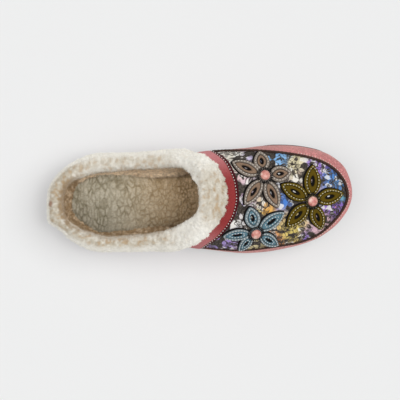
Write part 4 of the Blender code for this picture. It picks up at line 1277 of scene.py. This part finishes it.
def petal_ring(flower, tip, section, shift=(0.0, 0.0)):
    """A ring of leather or felt on the vamp, from rows of share, reach beyond the edge and lift."""
    turn = np.linspace(0, 1, PETAL_STEPS, endpoint=False)
    rows = []
    for share, beyond, lift in section:
        plan = petal_plan(flower, tip, turn, share, beyond) + shift
        y = np.minimum(plan[:, 1], FELT_LIMIT)
        rows.append(on_skin(plan[:, 0], y, FLOWER_LIFT + lift)[0])
    points = np.stack(rows, 1)
    faces = grid_faces(PETAL_STEPS, len(section), True, True)
    return points.reshape(-1, 3), faces


def petals(flower, leather, felt, thread):
    """A flower's five petals on their black felt, whose margin is painted shadow, each sewn on round its
    rim.
    """
    backing_and_shadow, sewing = [], []
    for number, tip in enumerate(flower.tips, 1):
        name = f"{flower.name}_petal_{number}"
        section = [(layer.share, 0.0, PETAL_LIFT + layer.lift) for layer in PETAL_SECTION]
        tint = np.array([np.array(flower.inner if layer.share > INNER_FROM else flower.rim) * layer.tone
                         for layer in PETAL_SECTION])
        add_piece(f"{name}_leather", *petal_ring(flower, tip, section), leather, f"{flower.name}_petals",
                  (name,), np.tile(tint, (PETAL_STEPS, 1)), closed=True)
        points, faces = petal_ring(flower, tip, BACKING_AND_SHADOW, FELT_SHADOW_SHIFT)
        backing_and_shadow.append((points, faces.tolist()))
        turn = np.linspace(0, 1, SEWN_STEPS, endpoint=False)
        for share in flower.sewn:
            plan = petal_plan(flower, tip, turn, share)
            path, normals = on_skin(plan[:, 0], plan[:, 1], FLOWER_LIFT + PETAL_LIFT + SEWN_LIFT)
            sewing.append(stitches(path, normals, PETAL_STITCH, closed=True))
    add_piece(f"{flower.name}_felt", *joined(backing_and_shadow), felt, "rosette", tint=BLACK, closed=True)
    add_piece(f"{flower.name}_stitches", *joined(sewing), thread, "stitching", tint=flower.thread)


def seat_of(flower, lift):
    """A flower's middle on the vamp, with the normal and two directions across it."""
    seat, normal = on_skin(np.array([flower.x]), np.array([flower.y]), lift)
    across = unit(np.cross(normal[0], (0.0, 1.0, 0.0)))
    return seat[0], normal[0], across, np.cross(normal[0], across)


def rosette(flower, cord, leather):
    """Black cord in loops like the rays of a sun, sewn flat over the flower's leather middle."""
    seat, normal, right, back = seat_of(flower, ROSETTE_LIFT)
    parts = []
    for number in range(ROSETTE_LOOPS):
        heading = 2 * math.pi * number / ROSETTE_LOOPS
        ahead = right * math.cos(heading) + back * math.sin(heading)
        aside = np.cross(normal, ahead)
        turn = full_turn(LOOP_STEPS)
        out = (1 - np.cos(turn)) / 2
        reach = BUTTON_RADIUS + (ROSETTE_RADIUS - ROSETTE_CORD - BUTTON_RADIUS) * out
        swing = np.sin(turn) * (0.12 + 0.5 * out)
        height = 0.35 * np.sin(turn / 2)
        path = (seat + ahead * reach[:, None] + aside * swing[:, None] + normal * height[:, None])
        parts.append(tube(path, np.broadcast_to(normal, path.shape), ROSETTE_CORD, LOOP_SIDES, closed=True))
    name = f"{flower.name}_rosette"
    add_piece(f"{name}_cord", *joined(parts), cord, "rosette", (name,), BLACK, closed=True)
    turn = full_turn(TURN_STEPS)[:, None]
    rings = [seat + radius * (np.cos(turn) * right + np.sin(turn) * back) + normal * height
             for radius, height in MIDDLE_RINGS]
    disc = np.stack(rings, 1).reshape(-1, 3)
    faces = grid_faces(TURN_STEPS, len(rings), True, True)
    add_piece(f"{flower.name}_middle_leather", disc, faces, leather, f"{flower.name}_petals",
              tint=mixed(flower.rim, flower.thread, 0.15), closed=True)


def button(flower, made_of):
    """The domed, mottled bead in the flower's middle."""
    seat, normal, right, back = seat_of(flower, BUTTON_LIFT)
    profile = [(0.4, 0.0), (BUTTON_RADIUS - 0.3, 0.0), (BUTTON_RADIUS, 0.3), (BUTTON_RADIUS, BUTTON_EDGE)]
    for a in np.linspace(math.pi / 2, 0.06, 12)[1:]:
        profile.append((BUTTON_RADIUS * math.sin(a),
                        BUTTON_EDGE + (BUTTON_HEIGHT - BUTTON_EDGE) * math.cos(a)))
    turn = full_turn(TURN_STEPS)[:, None, None]
    drawn = np.array(profile)
    points = (seat + normal * drawn[None, :, 1:2]
              + drawn[None, :, 0:1] * (right * np.cos(turn) + back * np.sin(turn)))
    faces = grid_faces(TURN_STEPS, len(profile), loop_rows=True).tolist()
    for column in (0, len(profile) - 1):
        faces.append([row * len(profile) + column for row in range(TURN_STEPS)])
    name = f"{flower.name}_button"
    veins = ripples(points, *BUTTON_VEINS)
    tint = mixed(BUTTON_RED, BUTTON_PINK, step_up(-0.7, 0.1, veins))
    tint = mixed(tint, BUTTON_PALE, 0.8 * step_up(0.25, 0.75, veins))
    add_piece(f"{name}_bead", points, faces, made_of, "button", (name,), tint, closed=True)


# Stage

def stage():
    """The pale, lit floor, soft light from all round and from three lamps, and the camera."""
    mesh = bpy.data.meshes.new("floor")
    corners = [(-1, -1), (1, -1), (1, 1), (-1, 1)]
    mesh.from_pydata([(x * FLOOR_SIZE, y * FLOOR_SIZE, 0.0) for x, y in corners], [], [(0, 1, 2, 3)])
    floor = placed("floor", mesh)
    paper = bpy.data.materials.new("paper")
    paper.use_nodes = True
    shader = paper.node_tree.nodes["Principled BSDF"]
    shader.inputs["Base Color"].default_value = (*FLOOR_GREY, 1)
    shader.inputs["Roughness"].default_value = 0.9
    shader.inputs["Emission Color"].default_value = (1, 1, 1, 1)
    shader.inputs["Emission Strength"].default_value = FLOOR_GLOW
    mesh.materials.append(paper)

    world = bpy.data.worlds.new("studio")
    bpy.context.scene.world = world
    world.use_nodes = True
    sky = world.node_tree.nodes["Background"]
    sky.inputs["Color"].default_value = (1.0, 1.0, 1.0, 1)
    sky.inputs["Strength"].default_value = SKY_LIGHT

    for lamp in LAMPS:
        sun = bpy.data.lights.new(lamp.name, "SUN")
        sun.energy = lamp.energy
        sun.angle = math.radians(lamp.softness)
        placed(lamp.name, sun).rotation_euler = (math.radians(lamp.tip), math.radians(lamp.roll), 0)

    lens = bpy.data.cameras.new("camera")
    lens.sensor_width = SENSOR
    lens.lens = lens.sensor_width * (CAMERA_HEIGHT - FOCUS_HEIGHT) / (FRAME_PIXELS * PIXEL)
    camera = placed("camera", lens)
    camera.location = (CAMERA_AT[0] * MM, CAMERA_AT[1] * MM, CAMERA_HEIGHT * MM)
    bpy.context.scene.camera = camera
    bpy.context.scene.view_settings.view_transform = "Standard"


def main():
    """Finishes, then the pieces from the sole up, then the stage."""
    suede = look("suede", 0.9, (Grain(1.2, 0.35, 0.65, 0.72, 1.28), Grain(2.6, 0.55, 0.63, 1.0, 1.35)),
                 0.6, 0.6, shine=0.2, sheen=0.25, steep=2.6)
    band_suede = look("band_suede", 0.9, (Grain(0.7, 0.35, 0.65, 0.85, 1.15),), 0.4, 0.5, shine=0.15,
                      sheen=0.04)
    fleece = look("fleece", 0.95, (Grain(1.6, 0.3, 0.7, 0.94, 1.05),), 0.4, 0.8, shine=0.1, sheen=0.65)
    deep_fleece = look("deep_fleece", 0.95, (Grain(1.3, 0.3, 0.7, 0.84, 1.14),), 0.5, 0.8, shine=0.05)
    leather = look("leather", 0.75, (Grain(0.7, 0.35, 0.65, 0.72, 1.28),), 0.5, 0.5, shine=0.12)
    welt = look("welt", 0.6, (Grain(1.2, 0.35, 0.7, 0.7, 1.5),), 0.4, 0.8, shine=0.25)
    print_finish = look("print", 0.38, (Grain(0.9, 0.3, 0.7, 0.9, 1.08),), 0.15, 0.8, shine=0.35, nap=True)
    felt = look("felt", 0.95, (Grain(0.6, 0.3, 0.7, 0.7, 1.5),), 0.5, 0.5, shine=0.05)
    thread = look("thread", 0.8, (Grain(0.5, 0.3, 0.7, 0.88, 1.1),), 0.3, 0.3, shine=0.2)
    cord = look("cord", 0.7, (Grain(0.4, 0.35, 0.65, 0.6, 1.8),), 0.4, 0.4, shine=0.15)
    bead = look("bead", 0.4, (Grain(1.4, 0.4, 0.6, 0.9, 1.1),), 0.05, 1.0, coat=0.3)
    rubber = look("rubber", 0.8, (Grain(1.5, 0.3, 0.7, 0.85, 1.15),), 0.3, 0.6)

    outsole(rubber)
    insole(deep_fleece)
    upper_wall(suede)
    lining(deep_fleece)
    fleece_cuff(fleece)
    vamp_panel(print_finish)
    collar_band(band_suede, thread)
    vamp_piping(welt, thread)
    for flower in FLOWERS:
        petals(flower, leather, felt, thread)
        rosette(flower, cord, leather)
        button(flower, bead)
    stage()


main()
